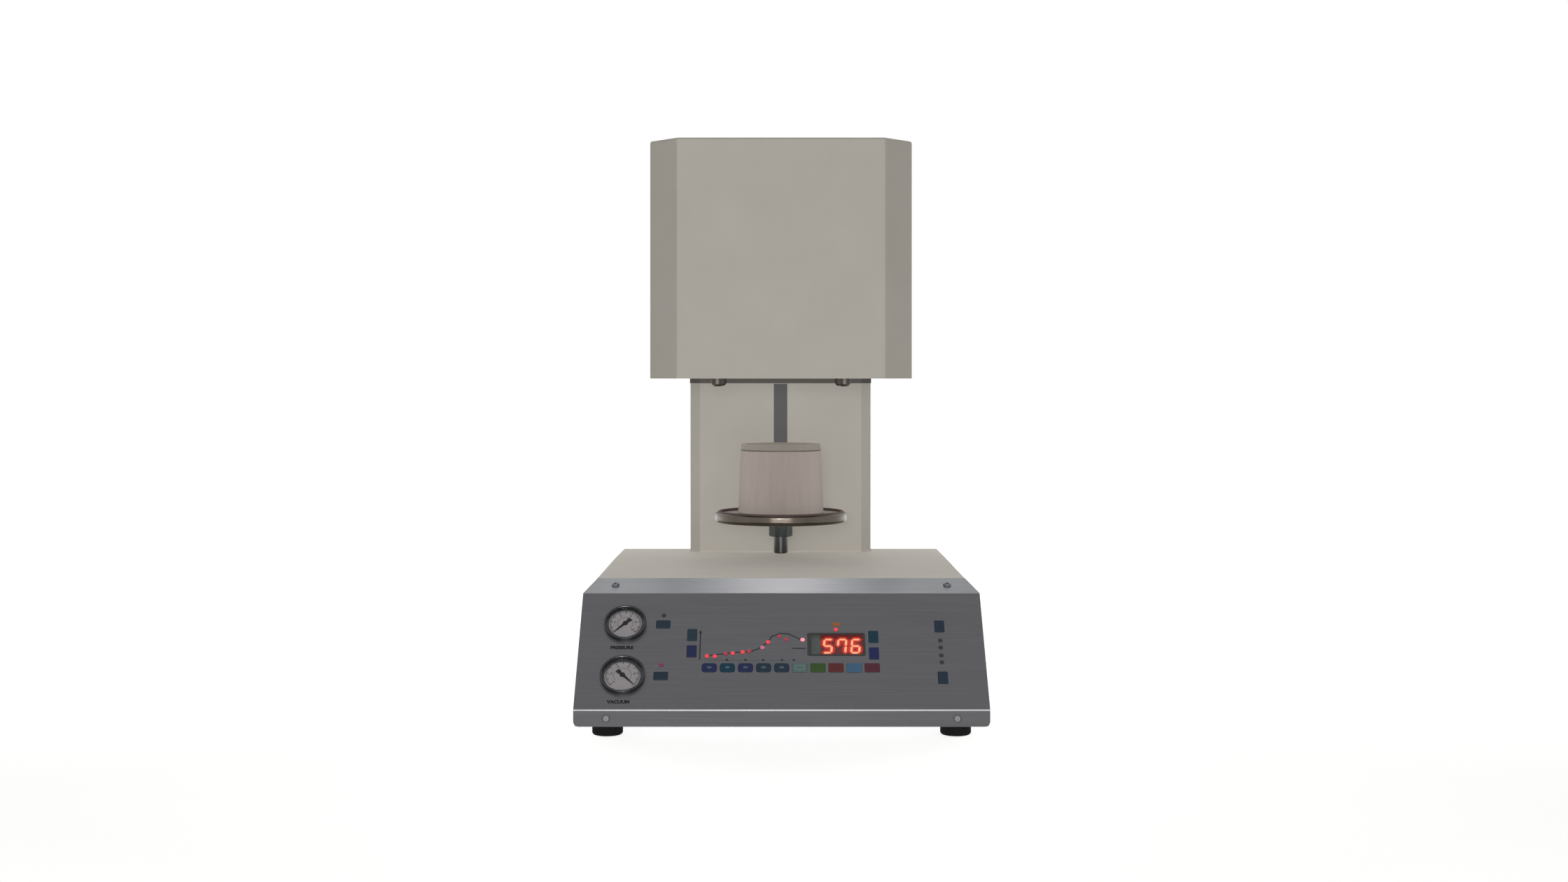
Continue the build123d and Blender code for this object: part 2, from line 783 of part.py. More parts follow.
def make_can_lid():
    lid = rod(0, axis_back, (can_high + seat_gap, can_lid_top), can_outer)
    lid -= rod(0, axis_back, (can_high - 1, can_lid_top + 1), plunger_diameter + 2 * run_gap)
    return lid - rod(probe_across, axis_back, (can_high - 1, can_lid_top + 1), probe_diameter + 2 * seat_gap)


def make_insulation_ring():
    return ring(0, axis_back, (flange_high + seat_gap, muffle_high), insulation_outer, insulation_bore)


def make_insulation_lid():
    lid = rod(0, axis_back, (lid_low, lid_high), insulation_outer)
    lid -= rod(0, axis_back, (lid_low - 1, lid_high + 1), plunger_diameter + 4 * run_gap)
    return lid - rod(probe_across, axis_back, (lid_low - 1, lid_high + 1), probe_diameter + 2 * seat_gap)


def make_heating_coil():
    """A flat strip laid round the muffle in rings, each joined to the next by a short riser."""
    wall, height = coil_strip
    low = flange_high + coil_margin
    pitch = (muffle_high - coil_margin - height - low) / (coil_turns - 1)
    inner = muffle_outer + 2 * coil_gap
    outer = inner + 2 * wall
    coil = []
    for turn in range(coil_turns):
        up = low + turn * pitch
        coil.append(ring(0, axis_back, (up, up + height), outer, inner))
        if turn:
            side = 1 if turn % 2 else -1
            riser = block((-height / 2, height / 2), sorted((axis_back, axis_back + side * outer)),
                          (up - pitch + height - weld, up + weld))
            coil.append(riser & ring(0, axis_back, (low, muffle_high), outer, inner))
    return coil[0] + coil[1:]


def make_thermocouple():
    low = lid_low - probe_depth
    probe = rod(probe_across, axis_back, (low, can_lid_top + probe_head_height), probe_diameter)
    head_low_z = can_lid_top + seat_gap
    return probe + rod(probe_across, axis_back, (head_low_z, can_lid_top + probe_head_height), probe_head)


def make_press_cylinder():
    barrel = ring(0, axis_back, (cylinder_low, cylinder_high), cylinder_outer, cylinder_bore)
    base = ring(0, axis_back, (cylinder_low, cylinder_low + cylinder_cap), cylinder_outer,
                plunger_diameter + 2 * run_gap)
    front = axis_back - cylinder_outer / 2
    port = rear_rod(0, cylinder_low + cylinder_cap / 2, (front - port_height, front + port_root),
                    port_diameter)
    return barrel + base + port


def make_cylinder_cap():
    return rod(0, axis_back, (cylinder_high - cylinder_cap, cylinder_high), cylinder_bore - 2 * seat_gap)


def make_press_plunger():
    piston = rod(0, axis_back, (piston_low, piston_low + piston_height), cylinder_bore - 2 * run_gap)
    return piston + rod(0, axis_back, (plunger_low, piston_low + 1), plunger_diameter)


keep("seal_flange", make_seal_flange())
keep("flange_bolts", *[make_bolt(*place) for place in bolt_places])
keep("muffle_tube", ring(0, axis_back, (muffle_low, muffle_high), muffle_outer, muffle_bore))
keep("insulation", make_insulation_ring(), make_insulation_lid())
keep("heating_coil", make_heating_coil())
keep("chamber_can", make_chamber_can(), make_can_lid())
keep("thermocouple", make_thermocouple())
keep("press_cylinder", make_press_cylinder(), make_cylinder_cap())
keep("press_plunger", make_press_plunger())


# Platform and what stands on it
disc_high = disc_low + disc_wall
block_low = disc_high + seat_gap
tray_low = block_low + block_height + seat_gap
seal_top = disc_high - seal_groove + seal_cord
lift_travel = head_low - seal_top - stop_gap


def make_platform_disc():
    disc = rod(0, axis_back, (disc_low, disc_high), disc_diameter)
    disc = fillet(disc.edges().group_by(Axis.Z)[0], disc_edge)
    disc = fillet(disc.edges().group_by(Axis.Z)[-1], disc_top_edge)
    disc += rod(0, axis_back, (disc_high, disc_high + boss_height), boss_diameter)
    disc -= ring(0, axis_back, (disc_high - seal_groove, disc_high + 1),
                 seal_circle + seal_cord, seal_circle - seal_cord)
    return disc - rod(0, axis_back, (disc_low - 1, disc_low + shaft_entry + seat_gap),
                      shaft_diameter + 2 * seat_gap)


def make_platform_seal():
    radius = seal_cord / 2 - seat_gap / 2
    cord = Torus(seal_circle / 2, radius)
    return Pos(0, axis_y, disc_high - seal_groove + seal_cord / 2) * cord


def make_refractory_block():
    solid = cone(0, axis_back, (block_low, block_low + block_height), block_low_diameter, block_high_diameter)
    return solid - rod(0, axis_back, (block_low - 1, block_low + boss_height + seat_gap),
                       boss_diameter + 4 * seat_gap)


def make_firing_tray():
    tray = cone(0, axis_back, (tray_low, tray_low + tray_height), tray_low_diameter, tray_high_diameter)
    recess = rod(0, axis_back, (tray_low + tray_height - tray_recess, tray_low + tray_height + 1),
                 tray_high_diameter - 2 * tray_rim)
    return tray - recess


def make_platform_nut():
    high = disc_low - seat_gap - washer_wall
    low = high - nut_height
    nut = Pos(0, axis_y, low) * extrude(RegularPolygon(nut_flats / 2, 6, major_radius=False), nut_height)
    spread = nut_flats + 2 * nut_height / tan(radians(nut_bevel))
    nut &= cone(0, axis_back, (low, high), nut_flats, spread)
    washer = rod(0, axis_back, (high, high + washer_wall), washer_diameter)
    return nut + washer - rod(0, axis_back, (low - 1, disc_low + 1), shaft_diameter + 2 * seat_gap)


arm_middle = arm_low + arm_height / 2


def make_platform_shaft():
    shaft = rod(0, axis_back, (shaft_low, disc_low + shaft_entry), shaft_diameter)
    shaft = chamfer(shaft.edges().group_by(Axis.Z)[0], shaft_edge)
    start = axis_back + shaft_diameter / 2 - tenon_length
    return shaft - rear_rod(0, arm_middle, (start, axis_back + shaft_diameter), tenon_diameter + 2 * seat_gap)


carriage_front = screw_back - carriage_depth / 2
carriage_high = carriage_low + carriage_height


def make_lift_arm():
    up = (arm_low, arm_low + arm_height)
    rear = carriage_front - seat_gap
    bar = block((-arm_width / 2, arm_width / 2), (axis_back + shaft_diameter / 4, rear), up)
    bar -= rod(0, axis_back, (arm_low - 1, arm_low + arm_height + 1), shaft_diameter + 2 * seat_gap)
    tenon = rear_rod(0, arm_middle, (axis_back + shaft_diameter / 2 - tenon_length + seat_gap,
                                     axis_back + shaft_diameter), tenon_diameter)
    foot = block((-arm_foot_width / 2, arm_foot_width / 2), (rear - arm_foot_wall, rear), up)
    return bar + tenon + foot


def make_carriage():
    half = carriage_width / 2
    body = block((-half, half), (carriage_front, carriage_front + carriage_depth),
                 (carriage_low, carriage_high))
    body = chamfer(body.edges().filter_by(Axis.Z), carriage_edge)
    tall = (carriage_low - 1, carriage_high + 1)
    for side in (-1, 1):
        body -= rod(side * rod_across, screw_back, tall, bush_diameter + 2 * seat_gap)
    body -= rod(0, screw_back, tall, nut_body_diameter + 2 * seat_gap)
    return body


def make_bush(side):
    return ring(side * rod_across, screw_back, (carriage_low, carriage_high),
                bush_diameter, rod_diameter + 2 * run_gap)


def make_lead_nut():
    low = carriage_low + nut_body_low
    flange = carriage_high + seat_gap
    high = flange + nut_flange_wall
    body = rod(0, screw_back, (low, flange), nut_body_diameter)
    body += rod(0, screw_back, (flange, high), nut_flange_diameter)
    return body - rod(0, screw_back, (low - 1, high + 1), screw_diameter + 2 * run_gap)


def make_slot_shutter():
    front = column_front + column_wall + shutter_gap
    strip = block((-shutter_width / 2, shutter_width / 2), (front, front + shutter_wall),
                  (arm_low + arm_height + seat_gap, head_low))
    foot = block((-shutter_width / 2, shutter_width / 2), (front, carriage_front - seat_gap),
                 (arm_low + arm_height + seat_gap, carriage_high))
    return strip + foot


keep("platform_disc", make_platform_disc())
keep("platform_seal", make_platform_seal())
keep("refractory_block", make_refractory_block())
keep("firing_tray", make_firing_tray())
keep("platform_nut", make_platform_nut())
keep("platform_shaft", make_platform_shaft())
keep("lift_carriage", make_carriage(), make_lift_arm(), make_slot_shutter())
keep("lift_bushes", make_bush(-1), make_bush(1), make_lead_nut())


# Guide rods, brackets, screw and motor
lower_bracket = (base_top - cover_wall - seat_gap - bracket_wall, base_top - cover_wall - seat_gap)
upper_low = carriage_high + nut_flange_wall + lift_travel + 2
upper_bracket = (upper_low, upper_low + bracket_wall)
motor_high = lower_bracket[0] - seat_gap


def make_bracket(up, reach_to_wall):
    half = bracket_width / 2
    front = screw_back - carriage_depth / 2
    solid = block((-half, half), (front, front + bracket_depth), up)
    if reach_to_wall:
        solid += block((half - 1, column_width / 2 - column_wall - seat_gap),
                       (column_front + column_chamfer + 2, front + bracket_depth), up)
        solid += block((-column_width / 2 + column_wall + seat_gap, 1 - half),
                       (column_front + column_chamfer + 2, front + bracket_depth), up)
    for side in (-1, 1):
        solid -= rod(side * rod_across, screw_back, (up[0] - 1, up[1] + 1), rod_diameter + 2 * seat_gap)
    return solid - rod(0, screw_back, (up[0] - 1, up[1] + 1), journal_diameter + 2 * run_gap)


def make_lead_screw():
    low = lower_bracket[1] + seat_gap
    high = upper_bracket[0] - seat_gap
    thread = rod(0, screw_back, (low, high), screw_diameter)
    journal = rod(0, screw_back, (motor_high - motor_size[2] / 2, upper_bracket[1] + journal_proud),
                  journal_diameter)
    return thread + journal


def make_lift_motor():
    width, depth, height = motor_size
    rear = screw_back + motor_rear
    body = block((-width / 2, width / 2), (rear - depth, rear), (motor_high - height, motor_high))
    body = chamfer(body.edges().filter_by(Axis.Z), motor_corner)
    return body - rod(0, screw_back, (motor_high - height / 2 - 1, motor_high + 1),
                      journal_diameter + 2 * run_gap)


def make_guide_rod(side):
    return rod(side * rod_across, screw_back, (lower_bracket[0], upper_bracket[1]), rod_diameter)


keep("guide_rods", make_guide_rod(-1), make_guide_rod(1),
     make_bracket(lower_bracket, False), make_bracket(upper_bracket, True))
keep("lead_screw", make_lead_screw())
keep("lift_motor", make_lift_motor())


# Gauges
def gauge_body_diameter(bezel):
    """The part of a gauge that passes through the panel."""
    return bezel - 2 * gauge_body_step


def make_gauge_case(across, slope, bezel):
    case = face_rod(across, slope, (-gauge_depth, seat_gap), gauge_body_diameter(bezel))
    case += face_rod(across, slope, (seat_gap, gauge_proud), bezel)
    rim = [edge for edge in case.edges().filter_by(GeomType.CIRCLE)
           if abs(face_plane.to_local_coords(edge.center()).Z - gauge_proud) < 0.01]
    case = fillet(rim, gauge_edge)
    case -= face_rod(across, slope, (dial_low, gauge_proud + 1), bezel - 2 * (gauge_rim + gauge_seat))
    case -= face_rod(across, slope, (lens_low, gauge_proud + 1), bezel - 2 * gauge_rim)
    port = face_rod(across, slope, (-gauge_depth - 10, 1 - gauge_depth), barb_thread)
    return case + port - face_rod(across, slope, (-spindle_depth - 1, dial_low + 1),
                                  spindle_diameter + 2 * run_gap)


def make_gauge_dial(across, slope, bezel):
    wide = bezel - 2 * (gauge_rim + gauge_seat) - 2 * seat_gap
    dial = face_rod(across, slope, (dial_low + seat_gap, dial_low + seat_gap + dial_wall), wide)
    return dial - face_rod(across, slope, (0, 2), spindle_diameter + 2 * run_gap)


def make_gauge_lens(across, slope, bezel):
    return face_rod(across, slope, (lens_low + seat_gap, lens_low + seat_gap + lens_wall),
                    bezel - 2 * gauge_rim - 2 * seat_gap)


def make_gauge_clamp(across, slope, bezel):
    inner = gauge_body_diameter(bezel) + 2 * seat_gap
    back = -panel_wall - seat_gap
    clamp = face_rod(across, slope, (back - clamp_height, back), inner + 2 * clamp_wall)
    return clamp - face_rod(across, slope, (back - clamp_height - 1, back + 1), inner)


def make_pointer(across, slope, bezel, zero):
    """A tapered needle with a broad tail, lying at its zero mark."""
    reach = bezel / 2 - gauge_rim - gauge_seat - needle_margin
    needle = outline([(0, needle_root / 2), (reach, needle_tip / 2), (reach, -needle_tip / 2),
                      (0, -needle_root / 2), (-tail_length, -tail_width / 2), (-tail_length, tail_width / 2)])
    flat = Pos(0, 0, needle_low) * extrude(needle, needle_wall)
    hub = Pos(0, 0, needle_low) * Cylinder(hub_diameter / 2, needle_wall + hub_proud,
                                          align=(Align.CENTER, Align.CENTER, Align.MIN))
    spindle = Pos(0, 0, needle_low + 0.1) * Cylinder(spindle_diameter / 2, spindle_depth + needle_low,
                                                    align=(Align.CENTER, Align.CENTER, Align.MAX))
    return face_plane.location * Pos(across, slope, 0) * Rot(0, 0, zero) * (flat + hub + spindle)


keep("gauge_cases", *[make_gauge_case(*place) for place in gauges.values()],
     *[make_gauge_clamp(*place) for place in gauges.values()])
keep("gauge_dials", *[make_gauge_dial(*place) for place in gauges.values()])
keep("gauge_lenses", *[make_gauge_lens(*place) for place in gauges.values()])
keep("pressure_pointer", make_pointer(*gauges["pressure"], pressure_zero))
keep("vacuum_pointer", make_pointer(*gauges["vacuum"], vacuum_zero))


# Control board and what it carries
board_front = -panel_wall - board_gap
board_middle = ((board_span[0] + board_span[1]) / 2, (board_rise[0] + board_rise[1]) / 2)
board_size = (board_span[1] - board_span[0], board_rise[1] - board_rise[0])
flange_out = -panel_wall - seat_gap
switch_top = board_front + switch_height
stem_low = switch_top + key_travel + seat_gap


def make_control_board():
    return face_block(*board_middle, board_size, (board_front - board_wall, board_front))


def make_spacers():
    spacers = []
    for across in spacer_across:
        for slope in (board_rise[0] + spacer_inset, board_rise[1] - spacer_inset):
            spacers.append(face_rod(across, slope, (board_front + seat_gap, flange_out), spacer_diameter))
    return spacers


def make_switch(across, slope, size):
    low = board_front + seat_gap
    body = face_block(across, slope, (switch_side, switch_side), (low, board_front + switch_body))
    return body + face_rod(across, slope, (board_front + switch_body, switch_top), switch_button)


def make_key(across, slope, size):
    cap = face_pad(across, slope, size, (flange_out, key_proud), size[2])
    top = [edge for edge in cap.edges() if face_plane.to_local_coords(edge.center()).Z > key_proud - 0.01]
    cap = chamfer(top, key_edge)
    wide = (size[0] + 2 * key_flange, size[1] + 2 * key_flange)
    flange = face_block(across, slope, wide, (flange_out - key_flange_wall, flange_out))
    return cap + flange + face_rod(across, slope, (stem_low, flange_out), key_stem)


def make_window():
    glass = face_pad(*window_place, window_size, (flange_out, -window_sunk), window_corner)
    wide = (window_size[0] + 2 * window_flange, window_size[1] + 2 * window_flange)
    return glass + face_block(*window_place, wide, (flange_out - window_flange_wall, flange_out))


def make_display():
    top = flange_out - window_flange_wall - seat_gap
    return face_block(*window_place, display_size, (board_front + seat_gap, top))


def make_lamp(across, slope):
    lamp = face_rod(across, slope, (board_front + seat_gap, lamp_proud), lamp_diameter)
    tip = [edge for edge in lamp.edges().filter_by(GeomType.CIRCLE)
           if face_plane.to_local_coords(edge.center()).Z > lamp_proud - 0.01]
    return chamfer(tip, lamp_edge)


keep("control_board", make_control_board(), *make_spacers(), make_display(),
     *[make_switch(*place) for place in keys.values()])
keep("display_window", make_window())
keep("indicator_lamps", *[make_lamp(*place) for place in lamps])
for name, place in keys.items():
    keep("key_" + name, make_key(*place))


# Power parts in the base
floor_up = foot_height + cover_wall + seat_gap


def make_transformer():
    across, back = core_place
    half = [side / 2 for side in core_size]
    core = block((across - half[0], across + half[0]), (back - half[1], back + half[1]),
                 (floor_up, floor_up + core_size[2]))
    half = [side / 2 for side in winding_size]
    middle = floor_up + core_size[2] / 2
    winding = block((across - half[0], across + half[0]), (back - half[1], back + half[1]),
                    (middle - half[2], middle + half[2]))
    return core + winding


def make_power_board():
    across, back = power_board_place
    half = [side / 2 for side in power_board_size]
    low = floor_up + power_board_lift
    board = block((across - half[0], across + half[0]), (back - half[1], back + half[1]),
                  (low, low + board_wall))
    for one in (-1, 1):
        for two in (-1, 1):
            board += rod(across + one * (half[0] - spacer_inset), back + two * (half[1] - spacer_inset),
                         (floor_up, low), spacer_diameter)
    return board


def make_heat_sink():
    across, back = power_board_place
    low = floor_up + power_board_lift + board_wall + seat_gap
    half = sink_depth / 2
    span = sink_pitch * (sink_fins - 1)
    sink = block((across - span / 2 - fin_wall, across + span / 2 + fin_wall), (back - half, back + half),
                 (low, low + sink_base))
    for fin in range(sink_fins):
        place = across - span / 2 + fin * sink_pitch
        sink += block((place - fin_wall / 2, place + fin_wall / 2), (back - half, back + half),
                      (low, low + sink_height))
    return sink


# Rear fittings
def make_power_inlet():
    across, up = inlet_place
    back = base_depth + seat_gap
    flange = block((across - inlet_flange[0] / 2, across + inlet_flange[0] / 2),
                   (back, back + inlet_flange_wall), (up - inlet_flange[1] / 2, up + inlet_flange[1] / 2))
    body = block((across - inlet_body[0] / 2, across + inlet_body[0] / 2),
                 (back - inlet_depth, back), (up - inlet_body[1] / 2, up + inlet_body[1] / 2))
    half_wide, half_tall = inlet_socket[0] / 2, inlet_socket[1] / 2
    mouth = outline([(-half_wide, -half_tall), (half_wide, -half_tall), (half_wide, half_tall - inlet_corner),
                     (half_wide - inlet_corner, half_tall), (inlet_corner - half_wide, half_tall),
                     (-half_wide, half_tall - inlet_corner)])
    rim = back + inlet_flange_wall
    socket = Pos(across, 0, up) * along_y(mouth, rim - inlet_socket_depth, rim + 1)
    inlet = flange + body - socket
    return inlet - [pin.solid() for pin in make_inlet_pins(seat_gap)]


def make_inlet_pins(grow):
    across, up = inlet_place
    floor = base_depth + seat_gap + inlet_flange_wall - inlet_socket_depth
    pins = []
    for step, rise in ((-1, -1), (0, 1), (1, -1)):
        middle = (across + step * pin_pitch, up + rise * pin_rise)
        pins.append(block((middle[0] - pin_size[0] / 2 - grow, middle[0] + pin_size[0] / 2 + grow),
                          (floor - pin_root - grow, floor + pin_length),
                          (middle[1] - pin_size[1] / 2 - grow, middle[1] + pin_size[1] / 2 + grow)))
    return pins


rocker_face = base_depth + seat_gap + rocker_flange_wall
pivot_back = rocker_face - rocker_pivot


def make_rocker_frame():
    across, up = rocker_place
    back = base_depth + seat_gap
    frame = block((across - rocker_flange[0] / 2, across + rocker_flange[0] / 2),
                  (back, rocker_face), (up - rocker_flange[1] / 2, up + rocker_flange[1] / 2))
    frame += block((across - rocker_body[0] / 2, across + rocker_body[0] / 2),
                   (back - rocker_depth, back), (up - rocker_body[1] / 2, up + rocker_body[1] / 2))
    frame -= block((across - rocker_hole[0] / 2, across + rocker_hole[0] / 2),
                   (rocker_face - rocker_hole_depth, rocker_face + 1),
                   (up - rocker_hole[1] / 2, up + rocker_hole[1] / 2))
    bore = rocker_hole[0] / 2 + trunnion_length + seat_gap
    pivot = Pos(across, front_y + pivot_back, up) * Rot(0, 90, 0)
    return frame - pivot * Cylinder(trunnion_diameter / 2 + run_gap, 2 * bore)


def make_power_rocker():
    """A rocker with two faces that lean in to its middle, tilted at rest."""
    across, up = rocker_place
    half = rocker_length / 2
    lean = tan(radians(rocker_tilt))
    high = rocker_height
    root = rocker_root_length / 2
    profile = outline([(-rocker_root, -root), (-rocker_root, root), (rocker_shoulder, half),
                       (high, half), (high - half * lean, 0), (high, -half), (rocker_shoulder, -half)])
    half_wide = rocker_hole[0] / 2 - key_gap
    body = extrude(Plane.YZ * profile, half_wide, both=True)
    body += Rot(0, 90, 0) * Cylinder(trunnion_diameter / 2, 2 * (rocker_hole[0] / 2 + trunnion_length))
    return Pos(across, front_y + pivot_back, up) * Rot(rocker_tilt, 0, 0) * body


def make_barb(across):
    """A hexagon fitting with a ridged hose tail, threaded through the rear wall."""
    start = base_depth + seat_gap
    tail = start + barb_hex_height
    fitting = Pos(across, front_y + start, fitting_up) * extrude(
        Plane.XZ * RegularPolygon(barb_hex / 2, 6, major_radius=False), -barb_hex_height)
    fitting += rear_rod(across, fitting_up, (start - barb_thread_length, start), barb_thread)
    for step in range(barb_count):
        low = tail + step * barb_step
        ridge = Pos(across, front_y + low + barb_step / 2, fitting_up) * Rot(-90, 0, 0) * Cone(
            barb_crest / 2, barb_root / 2, barb_step)
        fitting += ridge
    through = (start - barb_thread_length - 1, base_depth + rear_reach + 1)
    return fitting - rear_rod(across, fitting_up, through, barb_bore)


def make_manifold():
    middle = sum(barb_across) / 2
    rear = base_depth - cover_wall - seat_gap
    body = block((middle - manifold_size[0] / 2, middle + manifold_size[0] / 2),
                 (rear - manifold_size[1], rear),
                 (fitting_up - manifold_size[2] / 2, fitting_up + manifold_size[2] / 2))
    wide = barb_thread + 2 * seat_gap
    return body - [rear_rod(across, fitting_up, (rear - barb_thread_length, rear + 1), wide)
                   for across in barb_across]


def make_valve(across):
    low = fitting_up + manifold_size[2] / 2 + seat_gap
    middle = base_depth - cover_wall - manifold_size[1] / 2
    high = low + valve_height
    body = block((across - valve_side / 2, across + valve_side / 2),
                 (middle - valve_side / 2, middle + valve_side / 2), (low, high))
    return body + rod(across, middle, (high, high + valve_cap_height), valve_cap_diameter)


keep("power_supply", make_transformer(), make_power_board(), make_heat_sink())
keep("power_inlet", make_power_inlet(), *make_inlet_pins(0), make_rocker_frame())
keep("power_rocker", make_power_rocker())
keep("hose_fittings", *[make_barb(across) for across in barb_across])
keep("solenoid_valves", make_manifold(), *[make_valve(across) for across in barb_across])


os.makedirs("parts", exist_ok=True)
for name, solids in nodes.items():
    shape = solids[0] if len(solids) == 1 else Compound(solids)
    export_step(shape, f"parts/{name}.step")

print("pieces", len(nodes), "lift travel", round(lift_travel, 2), "cylinder top", round(cylinder_high, 1))
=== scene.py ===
import math
import bpy
from mathutils import Matrix, Vector


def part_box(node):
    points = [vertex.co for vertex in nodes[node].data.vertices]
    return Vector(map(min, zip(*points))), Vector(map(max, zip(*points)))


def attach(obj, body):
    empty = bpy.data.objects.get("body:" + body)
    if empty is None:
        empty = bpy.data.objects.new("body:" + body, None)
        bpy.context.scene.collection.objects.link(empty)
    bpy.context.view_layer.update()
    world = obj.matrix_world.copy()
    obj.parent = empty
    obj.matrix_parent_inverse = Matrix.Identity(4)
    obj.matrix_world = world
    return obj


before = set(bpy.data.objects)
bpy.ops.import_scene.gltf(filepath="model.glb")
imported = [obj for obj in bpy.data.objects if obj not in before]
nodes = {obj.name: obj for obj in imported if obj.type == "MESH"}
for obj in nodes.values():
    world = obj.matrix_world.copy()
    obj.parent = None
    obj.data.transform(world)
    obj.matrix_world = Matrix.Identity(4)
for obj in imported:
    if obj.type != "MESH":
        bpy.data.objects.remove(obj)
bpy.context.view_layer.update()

mm = 0.001

# The control face leans back 45 degrees. A place on it is given in mm: across from the middle,
# up the slope from the lower bend, and out of the sheet.
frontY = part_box("front_panel")[0].y
lowerBend = Vector((0, frontY, 27.5 * mm))
slope = math.sqrt(0.5)
faceAcross = Vector((1, 0, 0))
faceUp = Vector((0, slope, slope))
faceOut = Vector((0, -slope, slope))


def onFace(across, up, out):
    return lowerBend + faceAcross * across * mm + faceUp * up * mm + faceOut * out * mm


def inMetres(x, y, z):  # a place in the object's own frame
    return Vector((x, y, z))


def linear(hexColour):  # sRGB hex to the linear values that shaders work in
    parts = [int(hexColour[i:i + 2], 16) / 255 for i in (1, 3, 5)]
    colour = [c / 12.92 if c <= 0.04045 else ((c + 0.055) / 1.055) ** 2.4 for c in parts]
    return (*colour, 1.0)


# One node with its settings and links. Stops are a colour ramp's, each a place from 0 to 1 and a
# colour; enumerate puts two tones at 0 and 1.
def addNode(tree, kind, inputs=None, stops=(), **settings):
    node = tree.nodes.new("ShaderNode" + kind)
    for name, value in settings.items():
        setattr(node, name, value)
    for name, value in (inputs or {}).items():
        if isinstance(value, bpy.types.NodeSocket):
            tree.links.new(value, node.inputs[name])
        else:
            node.inputs[name].default_value = value
    for count, (position, hexColour) in enumerate(stops):
        elements = node.color_ramp.elements  # a new ramp has two
        stop = elements[count] if count < 2 else elements.new(position)
        stop.position, stop.color = position, linear(hexColour)
    return node


def newMaterial(name):
    material = bpy.data.materials.new(name)
    material.use_nodes = True
    tree = material.node_tree
    shader = tree.nodes["Principled BSDF"]
    place = addNode(tree, "TexCoord").outputs["Object"]
    return material, tree, shader, place


def addSkin(tree, shader, colour, grain, roughness, skin):
    # the grain varies the gloss round a middle value and lifts the surface a little
    rough = addNode(tree, "MapRange", {"Value": grain, "To Min": roughness - skin["spread"],
                                       "To Max": roughness + skin["spread"]})
    relief = addNode(tree, "Bump", {"Height": grain, "Strength": skin["strength"],
                                    "Distance": skin["depth"]})
    for name, socket in (("Base Color", colour), ("Roughness", rough.outputs[0]),
                         ("Normal", relief.outputs[0])):
        tree.links.new(socket, shader.inputs[name])


# Camera: level, as far off as the size of the front panel in the photograph says
view = {
    "place": (-0.0056, frontY - 1.836, 0.331),
    "sensor": 36,
    "lens": 46.286,
    "shift": (0.0054, -0.0411),
    "reach": 60,
}
camera = bpy.data.objects.new("camera", bpy.data.cameras.new("camera"))
bpy.context.scene.collection.objects.link(camera)
camera.data.sensor_width = view["sensor"]
camera.data.lens = view["lens"]
camera.data.shift_x, camera.data.shift_y = view["shift"]
camera.data.clip_end = view["reach"]
camera.location = view["place"]
camera.rotation_euler = (math.radians(90), 0, 0)
bpy.context.scene.camera = camera
bpy.context.scene.view_settings.view_transform = "Standard"
print("camera is set")

# Studio: pale floor and white surround. Lamps that cast no shadow keep the column under the head as
# light as the head, as in the photograph. A small lamp beside the camera gives the glints and the
# shadows, the one overhead lights the tops, a narrow one gives only the glint on the band, and the
# rear lamps light the sides and the back.
studio = {
    "floorColour": "#efefed",
    "white": "#ffffff",
    "floorWide": 14.0,
    "floorLift": (0.45, 0.86),  # what the camera sees added near by and far off, to keep it pale
    "liftReach": (0.8, 4.4),    # and where the two begin, in metres from the middle
    "surround": 0.18,           # light from all round
    "lamps": {
        "softFront": {"place": (0.0, -4.2, 0.6), "size": (2.6, 1.2), "power": 76},
        "besideCamera": {"place": (-0.09, -2.35, 0.44), "size": (0.34, 0.26), "power": 7,
                         "shadow": True},
        "overhead": {"place": (0.0, 1.15, 2.1), "size": (1.0, 0.9), "power": 27, "glossy": False},
        "bandGlint": {"place": (-0.02, 1.15, 2.1), "size": (0.2, 0.5), "power": 5,
                      "diffuse": False},
        "rearLeft": {"place": (-2.7, 2.8, 0.9), "size": (1.6, 1.6), "power": 40, "glossy": False,
                     "shadow": True},
        "rearRight": {"place": (2.7, 2.8, 0.9), "size": (1.6, 1.6), "power": 40, "glossy": False,
                      "shadow": True},
    },
    "aim": (0, 0, 0.3),
}


def lookedAt(tree):  # 1 for what the camera, gloss and glass see, and 0 for light on the object
    ray = addNode(tree, "LightPath")
    seen = addNode(tree, "Math", {0: ray.outputs["Is Camera Ray"], 1: ray.outputs["Is Glossy Ray"]},
                   operation="MAXIMUM")
    return addNode(tree, "Math", {0: seen.outputs[0], 1: ray.outputs["Is Transmission Ray"]},
                   operation="MAXIMUM").outputs[0]


